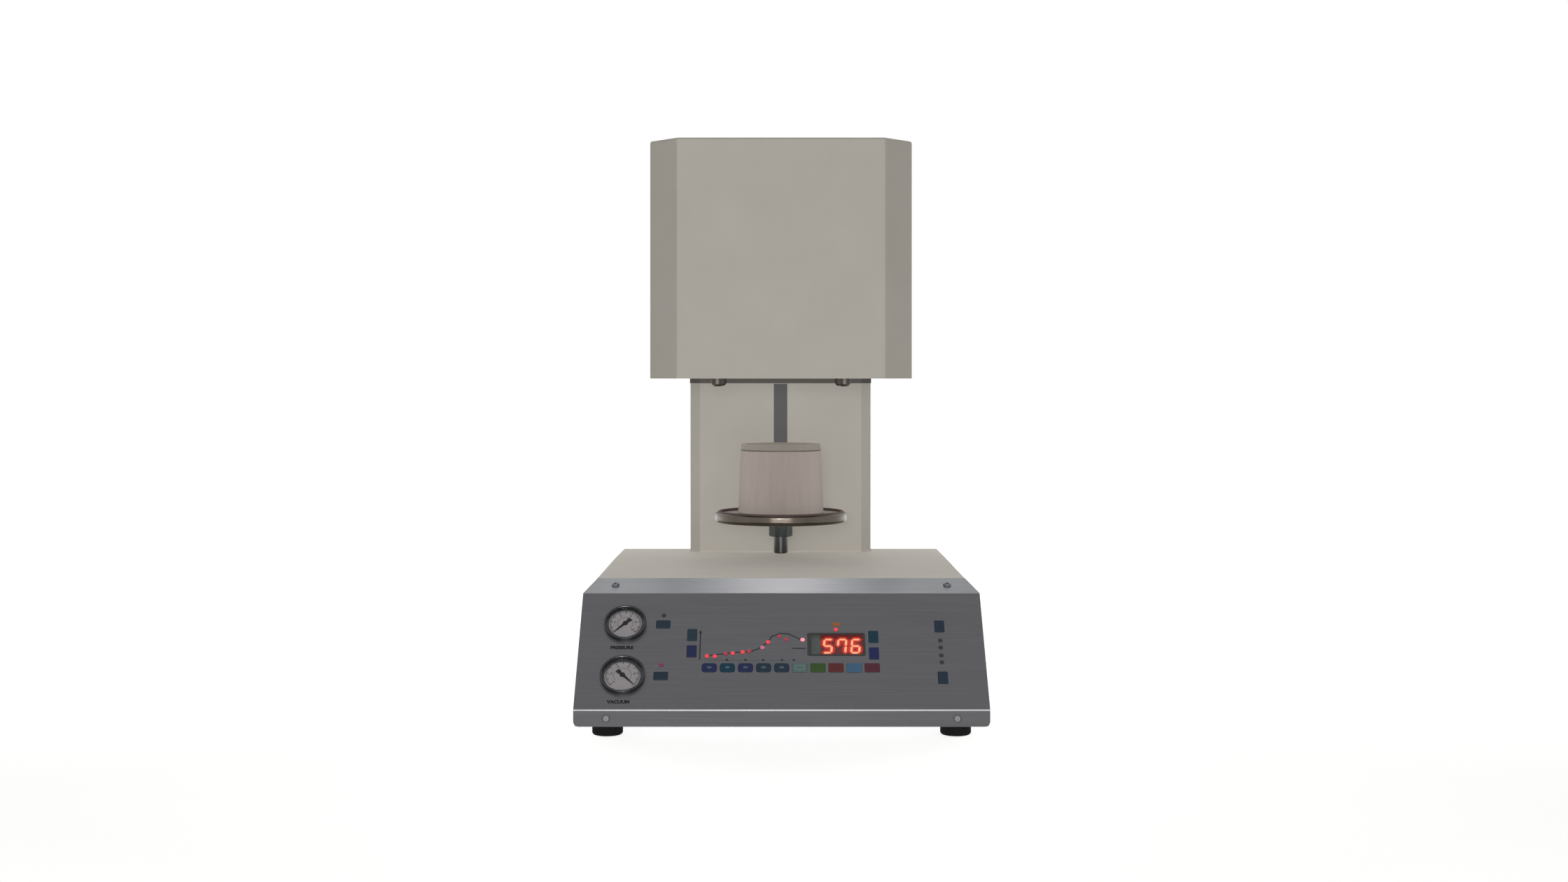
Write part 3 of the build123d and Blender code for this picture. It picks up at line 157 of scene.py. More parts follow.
def makeFloor():
    material, tree, shader, place = newMaterial("paleFloor")
    tree.nodes.remove(shader)
    (near, far), (low, high) = studio["liftReach"], studio["floorLift"]
    reach = addNode(tree, "VectorMath", {0: place}, operation="LENGTH")
    lift = addNode(tree, "MapRange", {"Value": reach.outputs["Value"], "From Min": near,
                                      "From Max": far, "To Min": low, "To Max": high})
    lift = addNode(tree, "Math", {0: lookedAt(tree), 1: lift.outputs[0]}, operation="MULTIPLY")
    glow = addNode(tree, "Emission", {"Color": linear(studio["white"]),
                                      "Strength": lift.outputs[0]})
    matt = addNode(tree, "BsdfDiffuse", {"Color": linear(studio["floorColour"])})
    both = addNode(tree, "AddShader", {0: matt.outputs[0], 1: glow.outputs[0]})
    tree.links.new(both.outputs[0], tree.nodes["Material Output"].inputs["Surface"])
    half = studio["floorWide"] / 2
    corners = [(-half, -half, 0), (half, -half, 0), (half, half, 0), (-half, half, 0)]
    mesh = bpy.data.meshes.new("floor")
    mesh.from_pydata(corners, [], [(0, 1, 2, 3)])
    mesh.materials.append(material)
    floor = bpy.data.objects.new("floor", mesh)
    bpy.context.scene.collection.objects.link(floor)


def makeSurround():
    world = bpy.data.worlds.new("surround")
    bpy.context.scene.world = world
    world.use_nodes = True
    tree = world.node_tree
    level = addNode(tree, "MapRange", {"Value": lookedAt(tree), "To Min": studio["surround"],
                                       "To Max": 1.0})
    sky = tree.nodes["Background"]
    sky.inputs["Color"].default_value = linear(studio["white"])
    tree.links.new(level.outputs[0], sky.inputs["Strength"])


def makeLamps():
    for name, lamp in studio["lamps"].items():
        light = bpy.data.lights.new(name, "AREA")
        light.shape = "RECTANGLE"
        light.size, light.size_y = lamp["size"]
        light.energy = lamp["power"]
        light.use_shadow = lamp.get("shadow", False)
        aim = Vector(studio["aim"]) - Vector(lamp["place"])
        holder = bpy.data.objects.new(name, light)
        holder.location = lamp["place"]
        holder.rotation_euler = aim.to_track_quat("-Z", "Y").to_euler()
        holder.visible_camera = False
        holder.visible_glossy = lamp.get("glossy", True)
        holder.visible_diffuse = lamp.get("diffuse", True)
        bpy.context.scene.collection.objects.link(holder)


makeFloor()
makeSurround()
makeLamps()
print("studio is set")


# Powder-coated steel sheet: polyester powder, sprayed and baked. Gives a warm grey skin with a
# soft sheen and a faint orange peel. The column and the base use a lighter copy of the same paint:
# painted light that makes up for the shade they lie in under the head.
powderCoat = {
    "tones": {"powderCoatedSteel": ("#a19c93", "#aba69e"),
              # the same paint painted lighter, for the shade under the head
              "coatedSteelPaintedLighter": ("#b0aba2", "#bab5ad")},
    "peel": 1.6 * mm, "cloud": 60 * mm, "roughness": 0.66,
    "skin": {"spread": 0.06, "strength": 0.5, "depth": 0.03 * mm},
}


def powderCoated(name):
    material, tree, shader, place = newMaterial(name)
    cloud = addNode(tree, "TexNoise", {"Vector": place, "Scale": 1 / powderCoat["cloud"],
                                       "Detail": 3.0})
    peel = addNode(tree, "TexNoise", {"Vector": place, "Scale": 1 / powderCoat["peel"],
                                      "Detail": 1.5})
    colour = addNode(tree, "ValToRGB", {"Fac": cloud.outputs["Fac"]},
                     enumerate(powderCoat["tones"][name]))
    addSkin(tree, shader, colour.outputs["Color"], peel.outputs["Fac"], powderCoat["roughness"],
            powderCoat["skin"])
    return material


# Brushed stainless steel sheet: ground with a belt along its width. Gives fine level lines. Its
# colour carries painted light by how far the sheet faces up: painted shade on the leaning face and
# the lip, a painted highlight on the lower bend and on the brow, and a painted glint in the middle
# of the band above. The real lines are about 0.1 mm apart: they are drawn 1.1 mm apart so that
# they show.
brushedSheet = {
    # the tones paint shade on the lip and the leaning face, and a painted highlight on the bend and
    # brow
    "tones": [(0.05, "#4e4e50"), (0.40, "#b9babd"), (0.66, "#626266"), (0.72, "#626266"),
              (0.80, "#9a9ca0")],  # lip, bend, face and brow, by how far the sheet looks up
    # painted glint: the band is paler in its middle, fading out over bandGlint to each side
    "paintedGlintTones": ("#828487", "#cdced5"), "bandTilt": (0.82, 0.9), "bandGlint": 150 * mm,
    "line": 1.1 * mm, "lineLength": 90 * mm, "lineTones": ("#d2d2d2", "#ffffff"),
    "metallic": 0.6, "roughness": 0.32,
    "skin": {"spread": 0.08, "strength": 0.4, "depth": 0.01 * mm},
}


def brushedStainless():
    material, tree, shader, place = newMaterial("brushedStainless")
    facing = addNode(tree, "TexCoord").outputs["Normal"]
    # painted light: the sheet's colour follows its own normal, lighter where it faces up
    tilt = addNode(tree, "SeparateXYZ", {"Vector": facing}).outputs["Z"]
    across = addNode(tree, "SeparateXYZ", {"Vector": place}).outputs["X"]
    paintedLightByTilt = addNode(tree, "ValToRGB", {"Fac": tilt}, brushedSheet["tones"])
    # painted glint: the band is paler towards its middle
    aside = addNode(tree, "Math", {0: across}, operation="ABSOLUTE")
    middle = addNode(tree, "MapRange", {"Value": aside.outputs[0], "From Min": 0.0,
                                        "From Max": brushedSheet["bandGlint"], "To Min": 1.0,
                                        "To Max": 0.0}, interpolation_type="SMOOTHSTEP")
    band = addNode(tree, "ValToRGB", {"Fac": middle.outputs[0]},
                   enumerate(brushedSheet["paintedGlintTones"]))
    low, high = brushedSheet["bandTilt"]
    onBand = addNode(tree, "MapRange", {"Value": tilt, "From Min": low, "From Max": high})
    sheet = addNode(tree, "Mix", {0: onBand.outputs[0], 6: paintedLightByTilt.outputs["Color"],
                                  7: band.outputs["Color"]}, data_type="RGBA")
    fine = 1 / brushedSheet["line"]
    stretch = addNode(tree, "Mapping", {"Vector": place,
                                        "Scale": (1 / brushedSheet["lineLength"], fine, fine)})
    lines = addNode(tree, "TexNoise", {"Vector": stretch.outputs[0], "Scale": 1.0, "Detail": 4.0})
    shade = addNode(tree, "ValToRGB", {"Fac": lines.outputs["Fac"]},
                    enumerate(brushedSheet["lineTones"]))
    colour = addNode(tree, "Mix", {0: 1.0, 6: sheet.outputs[2], 7: shade.outputs["Color"]},
                     data_type="RGBA", blend_type="MULTIPLY")
    addSkin(tree, shader, colour.outputs[2], lines.outputs["Fac"], brushedSheet["roughness"],
            brushedSheet["skin"])
    shader.inputs["Metallic"].default_value = brushedSheet["metallic"]
    return material


# Plain metals: each row gives the dark and pale tone, roughness, and the direction and pitch in mm
# of the marks that its making left. Tool marks are drawn about five times as coarse as real ones,
# so that they show.
metals = {
    "zincPlatedSheet": ("#7f8184", "#9b9da0", 0.42, (1, 1, 1), 9.0),        # cloudy pale grey
    "blackOxideSteel": ("#4e4a46", "#615c57", 0.46, (1, 1, 1), 1.2),        # worn to a warm grey
    "heatProofBlackSteel": ("#332f2b", "#443f3a", 0.62, (1, 1, 1), 2.0),    # sooty, hardly a glint
    "turnedSteel": ("#8b8d8e", "#b4b6b7", 0.27, (0.02, 0.02, 1), 0.8),      # bright fine rings
    "polishedSteel": ("#4a443e", "#6a625a", 0.14, (1, 1, 0.1), 22.0),       # dark warm mirror
    "brightNickelSteel": ("#141615", "#222523", 0.12, (1, 1, 0.2), 3.0),    # black with one streak
    "darkNickelSteel": ("#1a1c1b", "#2c2f2d", 0.12, (1, 1, 0.2), 3.0),      # black mirror
    "stainlessSteel": ("#505154", "#707175", 0.38, (1, 1, 1), 0.9),         # grey with a soft glint
    "turnedAluminium": ("#a3a5a7", "#c4c6c7", 0.33, (0.02, 0.02, 1), 0.9),  # pale fine rings
    "sinteredBronze": ("#7d6132", "#9b7d47", 0.5, (1, 1, 1), 0.5),          # dry, speckled brown
    "nickelledBrass": ("#a39d8a", "#c2bca8", 0.25, (1, 0.05, 1), 0.6),      # pale warm shine
    "oxidisedHeaterWire": ("#3f3833", "#5d544d", 0.6, (1, 1, 1), 1.5),      # brown-grey scale
    "laminatedCoreSteel": ("#3d3e40", "#5a5b5d", 0.5, (0.05, 1, 0.05), 0.8),  # edges of thin sheets
}
metalSkin = {"spread": 0.06, "strength": 0.3, "depth": 0.02 * mm}
plating = {"brightNickelSteel": {"Coat Weight": 1.0, "Coat Roughness": 0.22}}  # gives the streak


def plainMetal(name):
    dark, pale, roughness, stretch, pitch = metals[name]
    material, tree, shader, place = newMaterial(name)
    scale = [1 / (pitch * mm) * share for share in stretch]
    marks = addNode(tree, "Mapping", {"Vector": place, "Scale": scale})
    marks = addNode(tree, "TexNoise", {"Vector": marks.outputs[0], "Scale": 1.0, "Detail": 3.0})
    colour = addNode(tree, "ValToRGB", {"Fac": marks.outputs["Fac"]}, [(0, dark), (1, pale)])
    addSkin(tree, shader, colour.outputs["Color"], marks.outputs["Fac"], roughness, metalSkin)
    shader.inputs["Metallic"].default_value = 1.0
    for socket, value in plating.get(name, {}).items():
        shader.inputs[socket].default_value = value
    return material


# Painted metal, moulded plastic, rubber, card and ink: each row gives the two tones, roughness,
# grain of the mould or spray in mm, and how strongly the skin shines. The grain is drawn about five
# times as coarse as the real one, so that it breaks the highlight a little.
coats = {
    "blackNitrileRubber": ("#0c0c0d", "#141415", 0.82, 1.4, 0.12),    # dead black
    "blackLacqueredSteel": ("#17181b", "#222427", 0.13, 2.0, 0.45),   # glossy black with glints
    "greyPaintedSteel": ("#474749", "#515153", 0.5, 2.5, 0.3),        # flat mid grey
    "blackPaintedSteel": ("#1d1d1e", "#2a2a2b", 0.45, 2.0, 0.5),      # satin black
    "blackNylon": ("#1b1b1c", "#272728", 0.5, 0.8, 0.4),              # dull moulded black
    "glossBlackNylon": ("#141415", "#1e1e20", 0.24, 1.5, 0.5),        # shiny, from a polished mould
    "blackPolyamide": ("#212227", "#2d2e33", 0.48, 1.0, 0.5),         # blue-black, glass filled
    "blackNeedleLacquer": ("#0d0d0e", "#151517", 0.5, 0.6, 0.2),      # plain black
    "brownSilicone": ("#3b2a26", "#4c3833", 0.58, 1.6, 0.5),          # dark red-brown, soft shine
    "paleDialCard": ("#979294", "#a29d9f", 0.6, 3.0, 0.2),            # even pale grey
    "greyEpoxyMask": ("#4f5a54", "#5b665f", 0.5, 2.0, 0.2),           # green-grey, matt
    "greyEpoxySegment": ("#586460", "#646f6b", 0.5, 1.0, 0.2),        # a shade paler than the mask
    "paleKeyInk": ("#465763", "#51636f", 0.5, 1.0, 0.15),             # faint blue-grey
    "blackInk": ("#141517", "#1d1f21", 0.55, 1.0, 0.15),              # crisp black
    "greyInk": ("#232728", "#2e3233", 0.55, 1.0, 0.15),               # softer than the black
    "tealInk": ("#647c79", "#708885", 0.5, 1.0, 0.15),                # pale green-grey
    "whiteInk": ("#bdbdba", "#cbcbc8", 0.5, 1.0, 0.2),                # off white
    # painted shade: the dark strips where the head and the tray throw their shadow
    "darkPaintedShade": ("#443f3a", "#554f49", 0.6, 1.5, 0.5),            # dark warm grey line
    "paleFootLine": ("#b3ada3", "#c4beb4", 0.55, 2.0, 0.5),            # pale bead with a soft shine
}
coatSkin = {"spread": 0.05, "strength": 0.35, "depth": 0.03 * mm}


def sprayedOrMoulded(name):
    dark, pale, roughness, pitch, shine = coats[name]
    material, tree, shader, place = newMaterial(name)
    grain = addNode(tree, "TexNoise", {"Vector": place, "Scale": 1 / (pitch * mm), "Detail": 3.0})
    colour = addNode(tree, "ValToRGB", {"Fac": grain.outputs["Fac"]}, [(0, dark), (1, pale)])
    addSkin(tree, shader, colour.outputs["Color"], grain.outputs["Fac"], roughness, coatSkin)
    shader.inputs["Specular IOR Level"].default_value = shine
    return material


# Pressed refractory: fired aluminosilicate. Gives a chalky face with pores and faint upright marks
# where it left the mould. Each row gives the two tones, roughness, pore size and depth in mm. The
# pores are drawn about three times as coarse as real ones, so that they show.
refractories = {
    "refractoryCasting": ("#aca19b", "#baafa8", 0.9, 1.3, 0.2),    # pinkish, pitted
    "unglazedCeramic": ("#99918a", "#a69f96", 0.82, 0.9, 0.12),    # darker and smoother
    "ceramicFibreBoard": ("#c9c4b7", "#dcd8cd", 0.93, 1.1, 0.35),  # pale and woolly
}
mouldMarks = {"wide": 4.17 * mm, "tall": 45.5 * mm, "strength": 0.6, "poreEdge": (0.05, 0.3),
              "shine": 0.2}


def firedRefractory(name):
    dark, pale, roughness, pore, depth = refractories[name]
    material, tree, shader, place = newMaterial(name)
    scale = (1 / mouldMarks["wide"], 1 / mouldMarks["wide"], 1 / mouldMarks["tall"])
    upright = addNode(tree, "Mapping", {"Vector": place, "Scale": scale})
    streaks = addNode(tree, "TexNoise", {"Vector": upright.outputs[0], "Scale": 1.0, "Detail": 4.0})
    pores = addNode(tree, "TexVoronoi", {"Vector": place, "Scale": 1 / (pore * mm),
                                         "Randomness": 1.0})
    low, high = mouldMarks["poreEdge"]
    pits = addNode(tree, "MapRange", {"Value": pores.outputs["Distance"], "From Min": low,
                                      "From Max": high})
    tone = addNode(tree, "Math", {0: streaks.outputs["Fac"], 1: pits.outputs[0]},
                   operation="MULTIPLY")
    colour = addNode(tree, "ValToRGB", {"Fac": tone.outputs[0]}, [(0, dark), (1, pale)])
    skin = addNode(tree, "Bump", {"Height": pits.outputs[0], "Strength": mouldMarks["strength"],
                                  "Distance": depth * mm})
    tree.links.new(colour.outputs["Color"], shader.inputs["Base Color"])
    tree.links.new(skin.outputs[0], shader.inputs["Normal"])
    shader.inputs["Roughness"].default_value = roughness
    shader.inputs["Diffuse Roughness"].default_value = 1.0
    shader.inputs["Specular IOR Level"].default_value = mouldMarks["shine"]
    return material


# Key caps: coloured polycarbonate, moulded with a satin face. Gives a deep colour with a soft glint
# along the chamfered edge. The grain is drawn coarser than the real one, so that it shows.
keyColours = {
    "navyPolycarbonate": ("#1a2733", "#22313f"),
    "indigoPolycarbonate": ("#1c2244", "#232a4e"),
    "tealPolycarbonate": ("#0a2b3b", "#113646"),
    "slatePolycarbonate": ("#1d2c35", "#26373f"),
    "royalPolycarbonate": ("#1a2047", "#222854"),
    "greyPolycarbonate": ("#4b5f5e", "#586d6b"),
    "greenPolycarbonate": ("#2c4420", "#37522a"),
    "redPolycarbonate": ("#4f2426", "#5c2c2d"),
    "bluePolycarbonate": ("#39566f", "#456480"),
    "maroonPolycarbonate": ("#47222e", "#532a37"),
}
satin = {"grain": 0.7 * mm, "roughness": 0.41, "shine": 0.15,
         "skin": {"spread": 0.05, "strength": 0.25, "depth": 0.02 * mm}}


def satinPolycarbonate(name):
    material, tree, shader, place = newMaterial(name)
    grain = addNode(tree, "TexNoise", {"Vector": place, "Scale": 1 / satin["grain"], "Detail": 2.0})
    colour = addNode(tree, "ValToRGB", {"Fac": grain.outputs["Fac"]}, enumerate(keyColours[name]))
    addSkin(tree, shader, colour.outputs["Color"], grain.outputs["Fac"], satin["roughness"],
            satin["skin"])
    shader.inputs["Specular IOR Level"].default_value = satin["shine"]
    return material


# Fused quartz tube: drawn and left frosted. Gives a milky glow with lines along its length, wider
# apart than real ones so that they show.
quartz = {"tones": ("#cfccc4", "#e3e1da"), "line": 1.11 * mm, "lineLength": 50 * mm,
          "roughness": 0.45, "ior": 1.46, "clear": 0.35}


def fusedQuartz():
    material, tree, shader, place = newMaterial("fusedQuartz")
    scale = (1 / quartz["line"], 1 / quartz["line"], 1 / quartz["lineLength"])
    drawn = addNode(tree, "Mapping", {"Vector": place, "Scale": scale})
    lines = addNode(tree, "TexNoise", {"Vector": drawn.outputs[0], "Scale": 1.0, "Detail": 2.0})
    colour = addNode(tree, "ValToRGB", {"Fac": lines.outputs["Fac"]}, enumerate(quartz["tones"]))
    tree.links.new(colour.outputs["Color"], shader.inputs["Base Color"])
    shader.inputs["Roughness"].default_value = quartz["roughness"]
    shader.inputs["IOR"].default_value = quartz["ior"]
    shader.inputs["Transmission Weight"].default_value = quartz["clear"]
    return material


# Cast acrylic, polished: each row gives its tint, the size of its smears, the roughness that they
# vary between, how much of it is seen, and its shine.
acrylics = {
    "clearAcrylic": ("#4a4d4c", 6 * mm, (0.02, 0.07), 0.05, 0.3),   # gauge lens: a faint reflection
    "smokedAcrylic": ("#3a3130", 9 * mm, (0.05, 0.12), 0.15, 0.5),  # window: darkens the digits
}
acrylicIor = 1.49


def castAcrylic(name):
    tint, smearSize, (low, high), seen, shine = acrylics[name]
    material, tree, shader, place = newMaterial(name)
    smear = addNode(tree, "TexNoise", {"Vector": place, "Scale": 1 / smearSize, "Detail": 2.0})
    rough = addNode(tree, "MapRange", {"Value": smear.outputs["Fac"], "To Min": low,
                                       "To Max": high})
    tree.links.new(rough.outputs[0], shader.inputs["Roughness"])
    shader.inputs["Base Color"].default_value = linear(tint)
    shader.inputs["IOR"].default_value = acrylicIor
    shader.inputs["Alpha"].default_value = seen
    shader.inputs["Specular IOR Level"].default_value = shine
    return material


# Lamp lenses and lit segments: dyed epoxy, cast and left satin. Each row gives its dye, its glow and
# how strongly it glows. Gives a coloured bead of light, or nearly black where it is unlit.
glows = {
    "smokyEpoxy": ("#232527", "#000000", 0.0),       # unlit lamps
    "litRedEpoxy": ("#6b1a20", "#dc3c48", 1.0),      # the lit ones on the curve
    "dimRedEpoxy": ("#5c1a22", "#93303f", 0.9),      # those between them
    "palePinkEpoxy": ("#70343e", "#b8647a", 0.9),    # where the curve turns up
    "brightPinkEpoxy": ("#8a4a50", "#f08c98", 1.2),  # the running step
    "magentaEpoxy": ("#380f24", "#701a44", 0.9),     # beside the vacuum gauge
    "amberEpoxy": ("#5f3d1c", "#6b3a14", 0.8),       # over the display
    # painted glow: the field behind the digits and the halo round each segment glow as if lit by
    # them
    "paintedRedGlow": ("#3a1211", "#5a1412", 1.0),    # behind the digits
    "paintedSegmentHalo": ("#5c1411", "#cc221a", 1.1),   # the red spill round each segment
    "litSegmentCore": ("#5a3020", "#ffb584", 1.3),   # its hot middle
}
epoxy = {"haze": 0.8 * mm, "gloss": (0.25, 0.4), "shine": 0.3}


def dyedEpoxy(name):
    dye, glow, strength = glows[name]
    material, tree, shader, place = newMaterial(name)
    low, high = epoxy["gloss"]
    haze = addNode(tree, "TexNoise", {"Vector": place, "Scale": 1 / epoxy["haze"], "Detail": 2.0})
    rough = addNode(tree, "MapRange", {"Value": haze.outputs["Fac"], "To Min": low, "To Max": high})
    tree.links.new(rough.outputs[0], shader.inputs["Roughness"])
    shader.inputs["Base Color"].default_value = linear(dye)
    shader.inputs["Specular IOR Level"].default_value = epoxy["shine"]
    shader.inputs["Emission Color"].default_value = linear(glow)
    shader.inputs["Emission Strength"].default_value = strength
    return material


# Circuit board: green solder mask over copper, with pale tracks. Seen only through the vents.
board = {"greens": ("#15503a", "#195a42"), "track": "#5f8f6c", "pitch": 9 * mm, "trackShare": 0.04,
         "roughness": 0.35}


def solderMask():
    material, tree, shader, place = newMaterial("solderMask")
    one, two = board["greens"]
    tracks = addNode(tree, "TexBrick", {"Vector": place, "Scale": 1 / board["pitch"],
                                        "Mortar Size": board["trackShare"], "Color1": linear(one),
                                        "Color2": linear(two), "Mortar": linear(board["track"])})
    tree.links.new(tracks.outputs["Color"], shader.inputs["Base Color"])
    shader.inputs["Roughness"].default_value = board["roughness"]
    return material


families = ((plainMetal, metals), (sprayedOrMoulded, coats), (firedRefractory, refractories),
            (satinPolycarbonate, keyColours), (powderCoated, powderCoat["tones"]),
            (dyedEpoxy, glows), (castAcrylic, acrylics))
finishes = {name: make(name) for make, names in families for name in names}
for material in (brushedStainless(), fusedQuartz(), solderMask()):
    finishes[material.name] = material
print("finishes are made:", len(finishes))

nodeFinishes = {
    # the base cover and the column take the coat painted lighter, for the shade under the head
    "front_panel": "brushedStainless", "base_cover": "coatedSteelPaintedLighter",
    "base_pan": "zincPlatedSheet", "rubber_feet": "blackNitrileRubber",
    "housing_screws": "stainlessSteel", "column_shell": "coatedSteelPaintedLighter",
    "head_cover": "powderCoatedSteel", "head_plate": "heatProofBlackSteel",
    "rear_cover": "powderCoatedSteel", "seal_flange": "turnedSteel",
    "flange_bolts": "blackOxideSteel", "muffle_tube": "fusedQuartz",
    "insulation": "ceramicFibreBoard", "heating_coil": "oxidisedHeaterWire",
    "chamber_can": "turnedAluminium", "thermocouple": "turnedSteel",
    "press_cylinder": "turnedAluminium", "press_plunger": "turnedSteel",
    "platform_disc": "polishedSteel", "platform_seal": "brownSilicone",
    "refractory_block": "refractoryCasting", "firing_tray": "unglazedCeramic",
    "platform_nut": "darkNickelSteel", "platform_shaft": "brightNickelSteel",
    "lift_carriage": "greyPaintedSteel", "lift_bushes": "sinteredBronze",
    "guide_rods": "turnedSteel", "lead_screw": "turnedSteel", "lift_motor": "blackPaintedSteel",
    "gauge_cases": "blackLacqueredSteel", "gauge_dials": "paleDialCard",
    "gauge_lenses": "clearAcrylic", "pressure_pointer": "blackNeedleLacquer",
    "vacuum_pointer": "blackNeedleLacquer", "control_board": "solderMask",
    "display_window": "smokedAcrylic", "indicator_lamps": "smokyEpoxy",
    "power_supply": "laminatedCoreSteel", "power_inlet": "blackNylon",
    "power_rocker": "glossBlackNylon", "hose_fittings": "nickelledBrass",
    "solenoid_valves": "blackPolyamide",
}
keyFinishes = {
    "left_up": "slatePolycarbonate", "left_down": "indigoPolycarbonate",
    "right_up": "tealPolycarbonate", "right_down": "royalPolycarbonate",
    "program_1": "indigoPolycarbonate", "program_2": "tealPolycarbonate",
    "program_3": "indigoPolycarbonate", "time": "greyPolycarbonate",
    "start": "greenPolycarbonate", "stop": "redPolycarbonate",
    "cool": "bluePolycarbonate", "end": "maroonPolycarbonate",
}
otherKeys = "navyPolycarbonate"
for name in nodes:
    finish = nodeFinishes.get(name) or keyFinishes.get(name.removeprefix("key_"), otherKeys)
    if not nodes[name].material_slots:
        nodes[name].data.materials.append(None)
    for holder in nodes[name].material_slots:
        holder.material = finishes[finish]
print("CAD nodes are dressed:", len(nodes))


# Shapes: each gives points and faces, and makePiece joins several into one piece
def slab(outline, low, high, place=onFace):  # a flat outline, between two heights
    count = len(outline)
    points = [place(x, y, height) for height in (low, high) for x, y in outline]
    faces = [tuple(range(count))[::-1], tuple(range(count, 2 * count))]
    faces += [(i, (i + 1) % count, count + (i + 1) % count, count + i) for i in range(count)]
    return points, faces


def direction(x0, y0, x1, y1):  # one step from the first place towards the second
    length = math.hypot(x1 - x0, y1 - y0)
    return (x1 - x0) / length, (y1 - y0) / length


def ribbon(line, width, low, high):  # a printed line through points, one slab for each run
    parts = []
    overlap = width / 4
    for (x0, y0), (x1, y1) in zip(line, line[1:]):
        ax, ay = direction(x0, y0, x1, y1)
        nx, ny = -ay * width / 2, ax * width / 2
        x0, y0, x1, y1 = x0 - ax * overlap, y0 - ay * overlap, x1 + ax * overlap, y1 + ay * overlap
        parts.append(slab([(x0 - nx, y0 - ny), (x1 - nx, y1 - ny),
                           (x1 + nx, y1 + ny), (x0 + nx, y0 + ny)], low, high))
    return parts


def turned(centre, profile, start=0.0, sweep=360.0, steps=64, place=onFace):
    # a closed profile of radius and height, swept round a centre
    closed = sweep >= 360
    turns = [math.radians(start + sweep * i / steps) for i in range(steps if closed else steps + 1)]
    points = [place(centre[0] + r * math.cos(t), centre[1] + r * math.sin(t), h)
              for t in turns for r, h in profile]
    count, size = len(turns), len(profile)
    faces = []
    for i in range(count if closed else count - 1):
        one, two = size * i, size * ((i + 1) % count)
        faces += [(one + k, two + k, two + (k + 1) % size, one + (k + 1) % size)
                  for k in range(size)]
    if not closed:
        last = size * (count - 1)
        faces += [tuple(range(size)), tuple(range(last + size - 1, last - 1, -1))]
    return points, faces


def arcBand(centre, outer, inner, low, high, **sweep):  # a flat ring or part of one
    return turned(centre, [(outer, low), (outer, high), (inner, high), (inner, low)], **sweep)


def oval(centre, halfWide, halfTall, steps=64):  # the outline of a circle or an ellipse
    turns = [math.radians(360 * step / steps) for step in range(steps)]
    return [(centre[0] + halfWide * math.cos(turn), centre[1] + halfTall * math.sin(turn))
            for turn in turns]


def roundedBox(centre, size, corner, steps=6):  # the outline of a box with round corners
    outline = []
    for turn, sx, sy in ((0, 1, 1), (90, -1, 1), (180, -1, -1), (270, 1, -1)):
        x = centre[0] + sx * (size[0] / 2 - corner)
        y = centre[1] + sy * (size[1] / 2 - corner)
        for i in range(steps + 1):
            angle = math.radians(turn + 90 * i / steps)
            outline.append((x + corner * math.cos(angle), y + corner * math.sin(angle)))
    return outline


def frameRing(outer, inner, low, high, place=onFace):  # between two outlines with as many points
    count = len(outer)
    points = [place(x, y, height) for line, height in
              ((outer, low), (outer, high), (inner, high), (inner, low)) for x, y in line]
    faces = [(k * count + i, k * count + (i + 1) % count, (k + 1) % 4 * count + (i + 1) % count,
              (k + 1) % 4 * count + i) for k in range(4) for i in range(count)]
    return points, faces


def dome(centre, radius, low, height, steps=20, rings=4):  # a low round cap on the control face
    points, faces = [], []
    for i in range(rings):
        lean = math.radians(90 * i / rings)
        for k in range(steps):
            turn = math.radians(360 * k / steps)
            points.append(onFace(centre[0] + radius * math.cos(lean) * math.cos(turn),
                                 centre[1] + radius * math.cos(lean) * math.sin(turn),
                                 low + height * math.sin(lean)))
    points.append(onFace(centre[0], centre[1], low + height))
    for i in range(rings - 1):
        for k in range(steps):
            faces.append((i * steps + k, i * steps + (k + 1) % steps,
                          (i + 1) * steps + (k + 1) % steps, (i + 1) * steps + k))
    top = (rings - 1) * steps
    faces += [(top + k, top + (k + 1) % steps, rings * steps) for k in range(steps)]
    faces.append(tuple(range(steps))[::-1])
    return points, faces


def makePiece(name, parts, finish, body, smooth=False):
    points, faces = [], []
    for partPoints, partFaces in parts:
        faces += [tuple(len(points) + i for i in face) for face in partFaces]
        points += partPoints
    mesh = bpy.data.meshes.new(name)
    mesh.from_pydata(points, [], faces)
    mesh.validate()
    if smooth:
        mesh.polygons.foreach_set("use_smooth", [True] * len(mesh.polygons))
    mesh.materials.append(finishes[finish])
    piece = bpy.data.objects.new(name, mesh)
    bpy.context.scene.collection.objects.link(piece)
    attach(piece, body)


lettering = {"finish": "blackInk", "thick": 0.03}


def makeWords(name, words, across, up, low, size, bold):  # printed words on the control face
    text = bpy.data.curves.new(name, "FONT")
    text.body = words
    text.size = size * mm
    text.offset = bold * mm
    text.extrude = lettering["thick"] * mm
    text.align_x, text.align_y = "CENTER", "CENTER"
    text.materials.append(finishes[lettering["finish"]])
    piece = bpy.data.objects.new(name, text)
    bpy.context.scene.collection.objects.link(piece)
    axes = Matrix((faceAcross, faceUp, faceOut)).transposed().to_4x4()
    piece.matrix_world = Matrix.Translation(onFace(across, up, low + lettering["thick"])) @ axes
    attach(piece, "root")


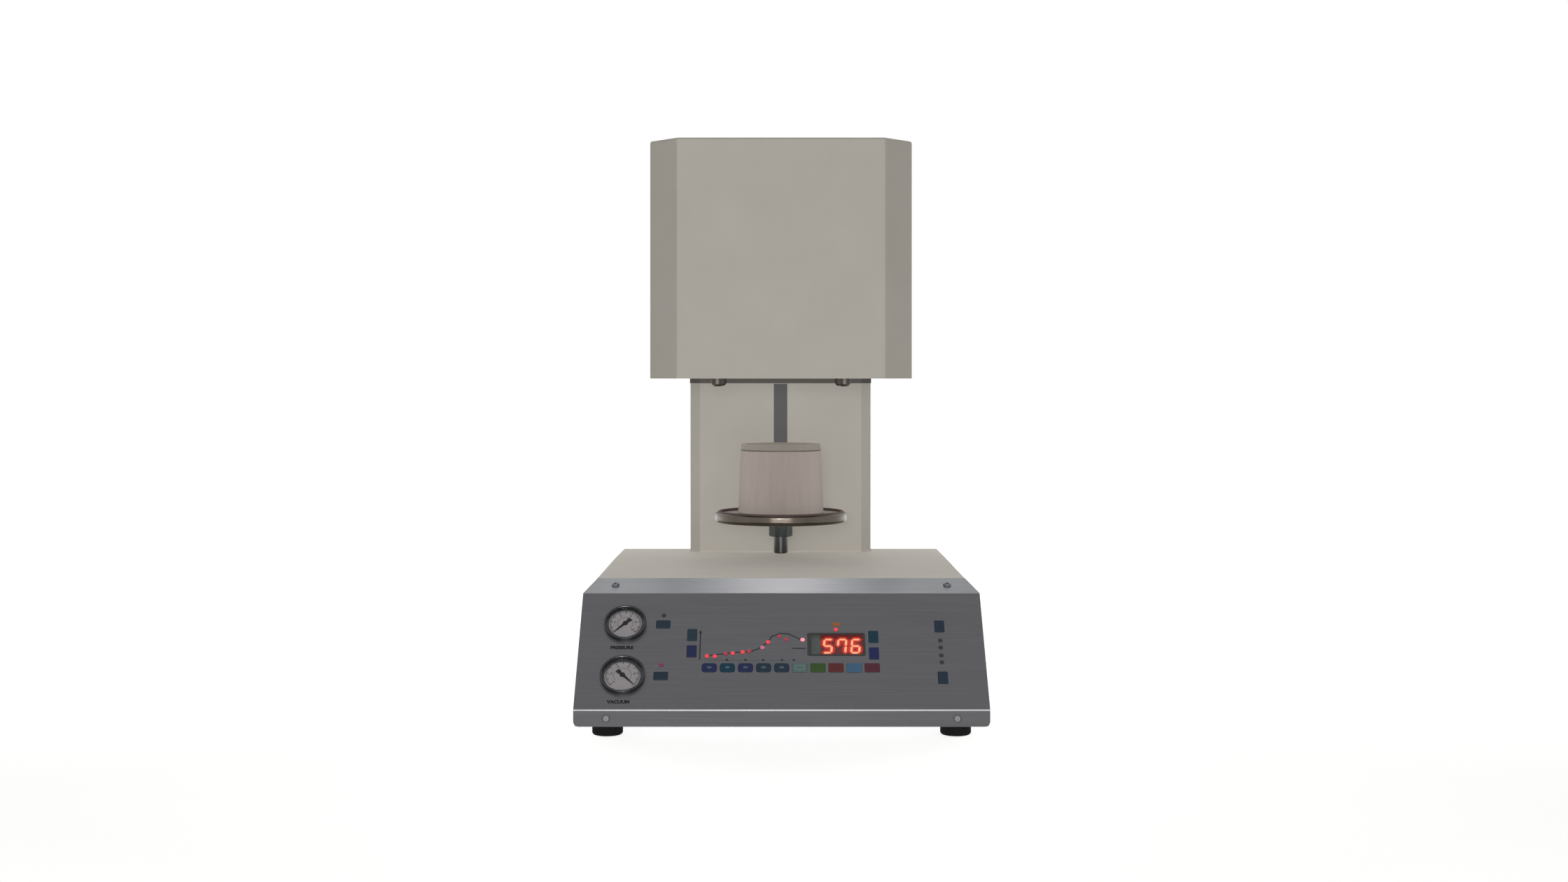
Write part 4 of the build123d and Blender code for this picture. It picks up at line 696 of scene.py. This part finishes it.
# Printing on the panel: the firing curve with its axes, a tick for each programme step, gauge names
printing = {
    "low": 0.0, "high": 0.05, "line": 1.2,
    "curve": [(-68.9, 61.4), (-45.0, 64.7), (-27.6, 66.4), (-22.3, 68.9), (-17.7, 72.2),
              (-12.3, 78.1), (-9.0, 83.9), (-0.9, 87.3), (7.1, 86.5), (12.5, 83.1), (17.8, 80.2)],
    "axis": [(-76.2, 57.0), (-76.2, 89.0)],
    "dash": [(10.4, 69.7), (22.2, 69.7)],
    "axisTop": (-76.2, 89.6), "axisTip": (1.6, 2.0, 1.8),  # half its width, and below and above
    "ticks": [-50.8, -33.5, -17.2, 0.4, 11.4], "tickUp": 56.6, "tickTip": (1.6, 1.3, 1.7),
    "baseline": {"start": -66.0, "end": 12.0, "step": 3.4, "dash": 0.45, "drop": 1.2, "line": 0.4},
    "names": [("pressureName", "PRESSURE", -149.4, 70.4), ("vacuumName", "VACUUM", -149.4, 8.6)],
    "nameSize": 4.9, "nameBold": 0.3,
}


def printedTip(across, up, size):  # a small triangle that points up
    halfWide, below, above = size
    outline = [(across - halfWide, up - below), (across + halfWide, up - below),
               (across, up + above)]
    return slab(outline, printing["low"], printing["high"])


def printPanel():
    low, high = printing["low"], printing["high"]
    parts = []
    for line in ("curve", "axis", "dash"):
        parts += ribbon(printing[line], printing["line"], low, high)
    parts.append(printedTip(*printing["axisTop"], printing["axisTip"]))
    for across in printing["ticks"]:
        parts.append(printedTip(across, printing["tickUp"], printing["tickTip"]))
    base = printing["baseline"]
    up = printing["tickUp"] - base["drop"]
    for place in range(int((base["end"] - base["start"]) / base["step"])):
        across = base["start"] + place * base["step"]
        parts += ribbon([(across, up), (across + base["step"] * base["dash"], up)], base["line"],
                        low, high)
    makePiece("curvePrint", parts, "greyInk", "root")
    for name, words, across, up in printing["names"]:
        makeWords(name, words, across, up, low, printing["nameSize"], printing["nameBold"])


# Display: seven-segment digits behind the window. The segments are lettered as on a data sheet, and
# each box is its middle, its size and its corner. A glowing field behind the digits and a halo round
# each lit segment are painted glow.
display = {
    "digits": [(43.5, "afgcd"), (56.6, "afbc"), (69.6, "afgcde")], "unlit": 30.6,  # 5, 7 and 6
    "middle": 74.6, "wide": 7.4, "tall": 15.4, "stroke": 2.1, "gap": 0.25, "lean": 0.09,
    # glow: how far the painted halo reaches past each segment
    "glow": 2.0,
    "window": ((51.3, 74.5), (54.0, 26.5), 1.7), "opening": ((52.3, 74.5), (48.6, 23.1), 0.9),
    "mask": ((51.3, 75.5), (55.6, 28.0), 1.5), "field": ((57.5, 75.5), (42.0, 27.6), 1.5),
    "frameFace": (-0.28, 0.12), "maskFace": (-2.998, -2.99), "fieldFace": (-2.988, -2.98),
    "unlitFace": (-2.978, -2.97), "haloFace": (-2.978, -2.965), "coreFace": (-2.96, -2.93),
}


def segmentLine(letter, across):
    wide, tall = display["wide"] / 2, display["tall"] / 2
    ends = {"a": ((-wide, tall), (wide, tall)), "b": ((wide, tall), (wide, 0)),
            "c": ((wide, 0), (wide, -tall)), "d": ((-wide, -tall), (wide, -tall)),
            "e": ((-wide, 0), (-wide, -tall)), "f": ((-wide, tall), (-wide, 0)),
            "g": ((-wide, 0), (wide, 0))}[letter]
    return [(across + x + y * display["lean"], display["middle"] + y) for x, y in ends]


def segmentSlab(letter, across, width, inset, low, high):  # a bar with pointed ends
    (x0, y0), (x1, y1) = segmentLine(letter, across)
    ax, ay = direction(x0, y0, x1, y1)
    nx, ny = -ay * width / 2, ax * width / 2
    x0, y0, x1, y1 = x0 + ax * inset, y0 + ay * inset, x1 - ax * inset, y1 - ay * inset
    point = width / 2
    return slab([(x0, y0), (x0 + ax * point - nx, y0 + ay * point - ny),
                 (x1 - ax * point - nx, y1 - ay * point - ny), (x1, y1),
                 (x1 - ax * point + nx, y1 - ay * point + ny),
                 (x0 + ax * point + nx, y0 + ay * point + ny)], low, high)


def makeDisplay():
    stroke, gap, glow = display["stroke"], display["gap"], display["glow"]
    core, halo = [], []
    for across, letters in display["digits"]:
        for letter in letters:
            core.append(segmentSlab(letter, across, stroke, gap, *display["coreFace"]))
            # painted glow round each lit segment
            halo.append(segmentSlab(letter, across, stroke + 2 * glow, -glow, *display["haloFace"]))
    unlit = [segmentSlab(letter, display["unlit"], stroke, gap, *display["unlitFace"])
             for letter in "abcdefg"]
    window, opening = roundedBox(*display["window"]), roundedBox(*display["opening"])
    bezel = frameRing(window, opening, *display["frameFace"])
    mask = slab(roundedBox(*display["mask"]), *display["maskFace"])
    field = slab(roundedBox(*display["field"]), *display["fieldFace"])
    makePiece("displayFrame", [bezel], "blackNylon", "root")
    makePiece("displayMask", [mask], "greyEpoxyMask", "root")
    makePiece("displayField", [field], "paintedRedGlow", "root")
    makePiece("unlitDigit", unlit, "greyEpoxySegment", "root")
    makePiece("paintedDigitHalo", halo, "paintedSegmentHalo", "root")
    makePiece("litDigits", core, "litSegmentCore", "root")


# Lamps: a round lens on each; the curve is lit up to the running step
lampCaps = {
    "radius": 2.1, "low": 0.35, "height": 0.9,
    "unlit": ("smokyEpoxy", [(-111.5, 108.7), (149.0, 78.9), (149.0, 70.7), (149.0, 61.6),
                             (149.0, 53.7)]),
    "lit": ("litRedEpoxy", [(-69.5, 60.6), (-62.2, 60.4), (-45.6, 63.9), (-36.3, 65.2),
                            (-12.6, 76.8), (51.2, 91.6)]),
    "dim": ("dimRedEpoxy", [(-52.3, 63.4), (-30.3, 66.3), (-2.0, 83.7), (4.2, 80.2)]),
    "pale": ("palePinkEpoxy", [(-17.9, 70.5)]),
    "bright": ("brightPinkEpoxy", [(19.8, 79.6)]),
    "magenta": ("magentaEpoxy", [(-111.7, 50.6)]),
    "bar": ((51.9, 97.9), (6.8, 4.8), 1.4), "barFace": (0.0, 0.3),
}


def makeLampCaps():
    for look in ("unlit", "lit", "dim", "pale", "bright", "magenta"):
        finish, places = lampCaps[look]
        caps = [dome(place, lampCaps["radius"], lampCaps["low"], lampCaps["height"])
                for place in places]
        makePiece(look + "LampCaps", caps, finish, "root", smooth=True)
    bar = slab(roundedBox(*lampCaps["bar"]), *lampCaps["barFace"])
    makePiece("amberBar", [bar], "amberEpoxy", "root")


# Gauges: printed scale rings, marks and numbers on the dial, a dark mask round it, and a rolled lip
# over the lens. The mask is partly the bezel's black inner wall and partly painted shade on the
# dial's rim, wider at the top. Rings, marks and numbers are measured inwards from the dial's radius.
dials = {
    "low": 1.2, "high": 1.24, "start": 225.0, "sweep": -270.0,
    "rings": [(2.2, 2.6), (9.6, 9.9)],
    "marks": 10, "finePerMark": 5, "markFoot": 2.4,
    "mainMark": (4.8, 0.7), "fineMark": (3.6, 0.35),  # how far in it starts, and its width
    "numberAt": 7.0, "numberSize": 3.0, "numberBold": 0.06,
    "opening": 1.4, "maskOut": 0.1, "maskIn": 2.8, "maskFace": (1.25, 1.6),
    "lipFoot": (0.3, 3.85), "lipCrown": (0.9, 4.62),
    "lipRoll": {"reach": 0.4, "up": 3.87, "wide": 1.0, "tall": 0.75, "steps": 5},
    "pressure": {"centre": (-147.5, 98.0), "radius": 17.0, "maskDrop": 0.3,
                 "numbers": ["0", "2", "4", "6", "8", "10"]},
    "vacuum": {"centre": (-147.0, 38.0), "radius": 18.0, "maskDrop": 1.5,
               "numbers": ["0", ".2", ".4", ".6", ".8", "1"]},
}


def makeDial(name):
    centre, radius = dials[name]["centre"], dials[name]["radius"]
    low, high = dials["low"], dials["high"]
    start, sweep = dials["start"], dials["sweep"]
    parts = [arcBand(centre, radius - outer, radius - inner, low, high, start=start + sweep,
                     sweep=-sweep) for outer, inner in dials["rings"]]

    def onDial(reach, turn):
        return centre[0] + reach * math.cos(turn), centre[1] + reach * math.sin(turn)

    fine = dials["marks"] * dials["finePerMark"]
    for mark in range(fine + 1):
        turn = math.radians(start + sweep * mark / fine)
        depth, width = dials["fineMark" if mark % dials["finePerMark"] else "mainMark"]
        line = [onDial(radius - depth, turn), onDial(radius - dials["markFoot"], turn)]
        parts += ribbon(line, width, low, high)
    makePiece(name + "Scale", parts, "blackInk", "root")
    numbers = dials[name]["numbers"]
    for place, words in enumerate(numbers):
        turn = math.radians(start + sweep * place / (len(numbers) - 1))
        across, up = onDial(radius - dials["numberAt"], turn)
        makeWords(f"{name}Number{place}", words, across, up, low, dials["numberSize"],
                  dials["numberBold"])


def makeBezelRings(name):
    (x, y), edge = dials[name]["centre"], dials[name]["radius"] + dials["opening"]
    outer = oval((x, y), edge + dials["maskOut"], edge + dials["maskOut"])
    # the mask's opening drops, so the painted shade is wider at the top
    inner = oval((x, y - dials[name]["maskDrop"]), edge - dials["maskIn"], edge - dials["maskIn"])
    mask = frameRing(outer, inner, *dials["maskFace"])
    roll = dials["lipRoll"]
    profile = [dials["lipFoot"], dials["lipCrown"]]
    for step in range(roll["steps"] + 1):
        turn = math.radians(90 * step / roll["steps"])
        profile.append((roll["reach"] - roll["wide"] * math.sin(turn),
                        roll["up"] + roll["tall"] * math.cos(turn)))
    lip = turned((x, y), [(edge + out, up) for out, up in profile])
    makePiece(name + "BezelRings", [mask, lip], "blackLacqueredSteel", "root")


# Needles: a thicker lacquered face on each pointer, with a hub cap and a broad tail
needles = {
    "low": 2.0, "high": 2.2, "hub": 2.6, "hubHigh": 2.6, "hubBevel": 0.4, "bore": 0.2,
    "outline": [(13.0, 0.35), (2.4, 1.35), (-2.2, 1.1), (-4.2, 2.1), (-7.0, 2.1),
                (-7.0, -2.1), (-4.2, -2.1), (-2.2, -1.1), (2.4, -1.35), (13.0, -0.35)],
    "turns": {"pressure": 225.0, "vacuum": 315.0},
}


def makeNeedle(name):
    x, y = dials[name]["centre"]
    turn = math.radians(needles["turns"][name])
    low, high, hub, bore = needles["low"], needles["hubHigh"], needles["hub"], needles["bore"]
    outline = [(x + px * math.cos(turn) - py * math.sin(turn),
                y + px * math.sin(turn) + py * math.cos(turn)) for px, py in needles["outline"]]
    cap = turned((x, y), [(bore, low), (hub, low), (hub - needles["hubBevel"], high), (bore, high)])
    makePiece(name + "Needle", [slab(outline, low, needles["high"]), cap], "blackNeedleLacquer",
              name + "_pointer")


# Key marks: the first five keys of the row carry a pale oval, the sixth a pale frame
keyMarks = {
    "low": 0.8, "high": 0.85, "rowUp": 47.3, "rowFirst": -67.1, "rowPitch": 16.8,
    "ovals": ["program_1", "program_2", "program_3", "program_4", "program_5"],
    "ovalWide": 4.6, "ovalTall": 2.6, "ovalSteps": 28,
    "frame": (9.0, 5.6), "frameLine": 0.7, "frameCorner": 0.9, "frameInnerCorner": 0.4,
}


def makeKeyMarks():
    low, high = keyMarks["low"], keyMarks["high"]
    for place, name in enumerate(keyMarks["ovals"]):
        middle = (keyMarks["rowFirst"] + keyMarks["rowPitch"] * place, keyMarks["rowUp"])
        outline = oval(middle, keyMarks["ovalWide"] / 2, keyMarks["ovalTall"] / 2,
                       keyMarks["ovalSteps"])
        makePiece("mark_" + name, [slab(outline, low, high)], "paleKeyInk", "key_" + name)
    sixth = len(keyMarks["ovals"])
    middle = (keyMarks["rowFirst"] + keyMarks["rowPitch"] * sixth, keyMarks["rowUp"])
    inner = [side - 2 * keyMarks["frameLine"] for side in keyMarks["frame"]]
    outlines = (roundedBox(middle, keyMarks["frame"], keyMarks["frameCorner"]),
                roundedBox(middle, inner, keyMarks["frameInnerCorner"]))
    makePiece("mark_time", [frameRing(*outlines, low, high)], "tealInk", "key_time")


# Rocker marks: a bar on the half that is pressed when the mains is on, a ring on the other half.
# Each is placed out and up from the pivot, which is in mm in the object's own frame.
rockerMarks = {
    "pivot": (-80.0, 218.6, 50.0), "thick": 0.05,
    "bar": {"place": (5.34, 6.24), "lean": 0.0, "size": (1.0, 4.2)},
    "ring": {"place": (7.01, -4.29), "lean": 18.0, "radii": (2.1, 1.35), "steps": 32},
}


def onRocker(mark):  # gives the function that places points on one half of the rocker
    lean = math.radians(mark["lean"])
    middle = Vector(rockerMarks["pivot"]) + Vector((0, *mark["place"]))
    across = Vector((-1, 0, 0))
    rise = Vector((0, -math.sin(lean), math.cos(lean)))
    out = Vector((0, math.cos(lean), math.sin(lean)))
    return lambda x, y, height: (middle + across * x + rise * y + out * height) * mm


def makeRockerMarks():
    thick, bar, ring = rockerMarks["thick"], rockerMarks["bar"], rockerMarks["ring"]
    x, y = bar["size"][0] / 2, bar["size"][1] / 2
    outline = [(-x, -y), (x, -y), (x, y), (-x, y)]
    outer, inner = [oval((0, 0), radius, radius, ring["steps"]) for radius in ring["radii"]]
    parts = [slab(outline, 0, thick, onRocker(bar)),
             frameRing(outer, inner, 0, thick, onRocker(ring))]
    makePiece("rockerMarks", parts, "whiteInk", "power_rocker")


# Trims, in mm: the dark strip where the column meets the head, which is painted shade under the
# head's edge, the pale bead round the column's foot, and a dark ring under the tray, which is a
# painted shadow line
trims = {
    "chamfer": 11.0, "sunk": 0.2,
    "stripLow": 323.5, "stripHigh": 328.9, "stripProud": 0.6, "stripDeep": 20.0,
    "beadTall": 1.2, "beadProud": 0.8,
    "shadeLineTall": 1.1, "shadeLineProud": 0.2, "shadeLineDeep": 1.0, "shadeLineSteps": 96,
}


def columnFront(grow, back):  # the column's front edge seen from above, grown by a distance
    low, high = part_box("column_shell")
    half, front = high.x + grow, low.y - grow
    cut = trims["chamfer"] * mm + grow * (2 - math.sqrt(2))
    return [(-half, back), (-half, front + cut), (cut - half, front), (half - cut, front),
            (half, front + cut), (half, back)]


def frontTrim(proud, back, low, high):  # one slab on each side of the column's front
    outer, inner = columnFront(proud * mm, back), columnFront(-trims["sunk"] * mm, back)
    return [slab([outer[i], outer[i + 1], inner[i + 1], inner[i]], low, high, inMetres)
            for i in range(len(outer) - 1)]


def makeTrims():
    low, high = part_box("column_shell")
    # painted shade: the dark strip under the head's edge
    strip = frontTrim(trims["stripProud"], low.y + trims["stripDeep"] * mm,
                      trims["stripLow"] * mm, trims["stripHigh"] * mm)
    makePiece("headShadeStrip", strip, "darkPaintedShade", "root")
    # a pale strip round the column's foot
    bead = frontTrim(trims["beadProud"], high.y, low.z, low.z + trims["beadTall"] * mm)
    makePiece("footBead", bead, "paleFootLine", "root")
    # painted shadow: the dark ring under the tray's edge
    low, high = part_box("firing_tray")
    outer = (high.x - low.x) / 2 + trims["shadeLineProud"] * mm
    trayShade = arcBand((low + high) / 2, outer, outer - trims["shadeLineDeep"] * mm, low.z,
                    low.z + trims["shadeLineTall"] * mm, steps=trims["shadeLineSteps"], place=inMetres)
    makePiece("trayShadeLine", [trayShade], "darkPaintedShade", "lift")


printPanel()
makeDisplay()
makeLampCaps()
for name in ("pressure", "vacuum"):
    makeDial(name)
    makeBezelRings(name)
    makeNeedle(name)
makeKeyMarks()
makeRockerMarks()
makeTrims()
print("pieces are made")
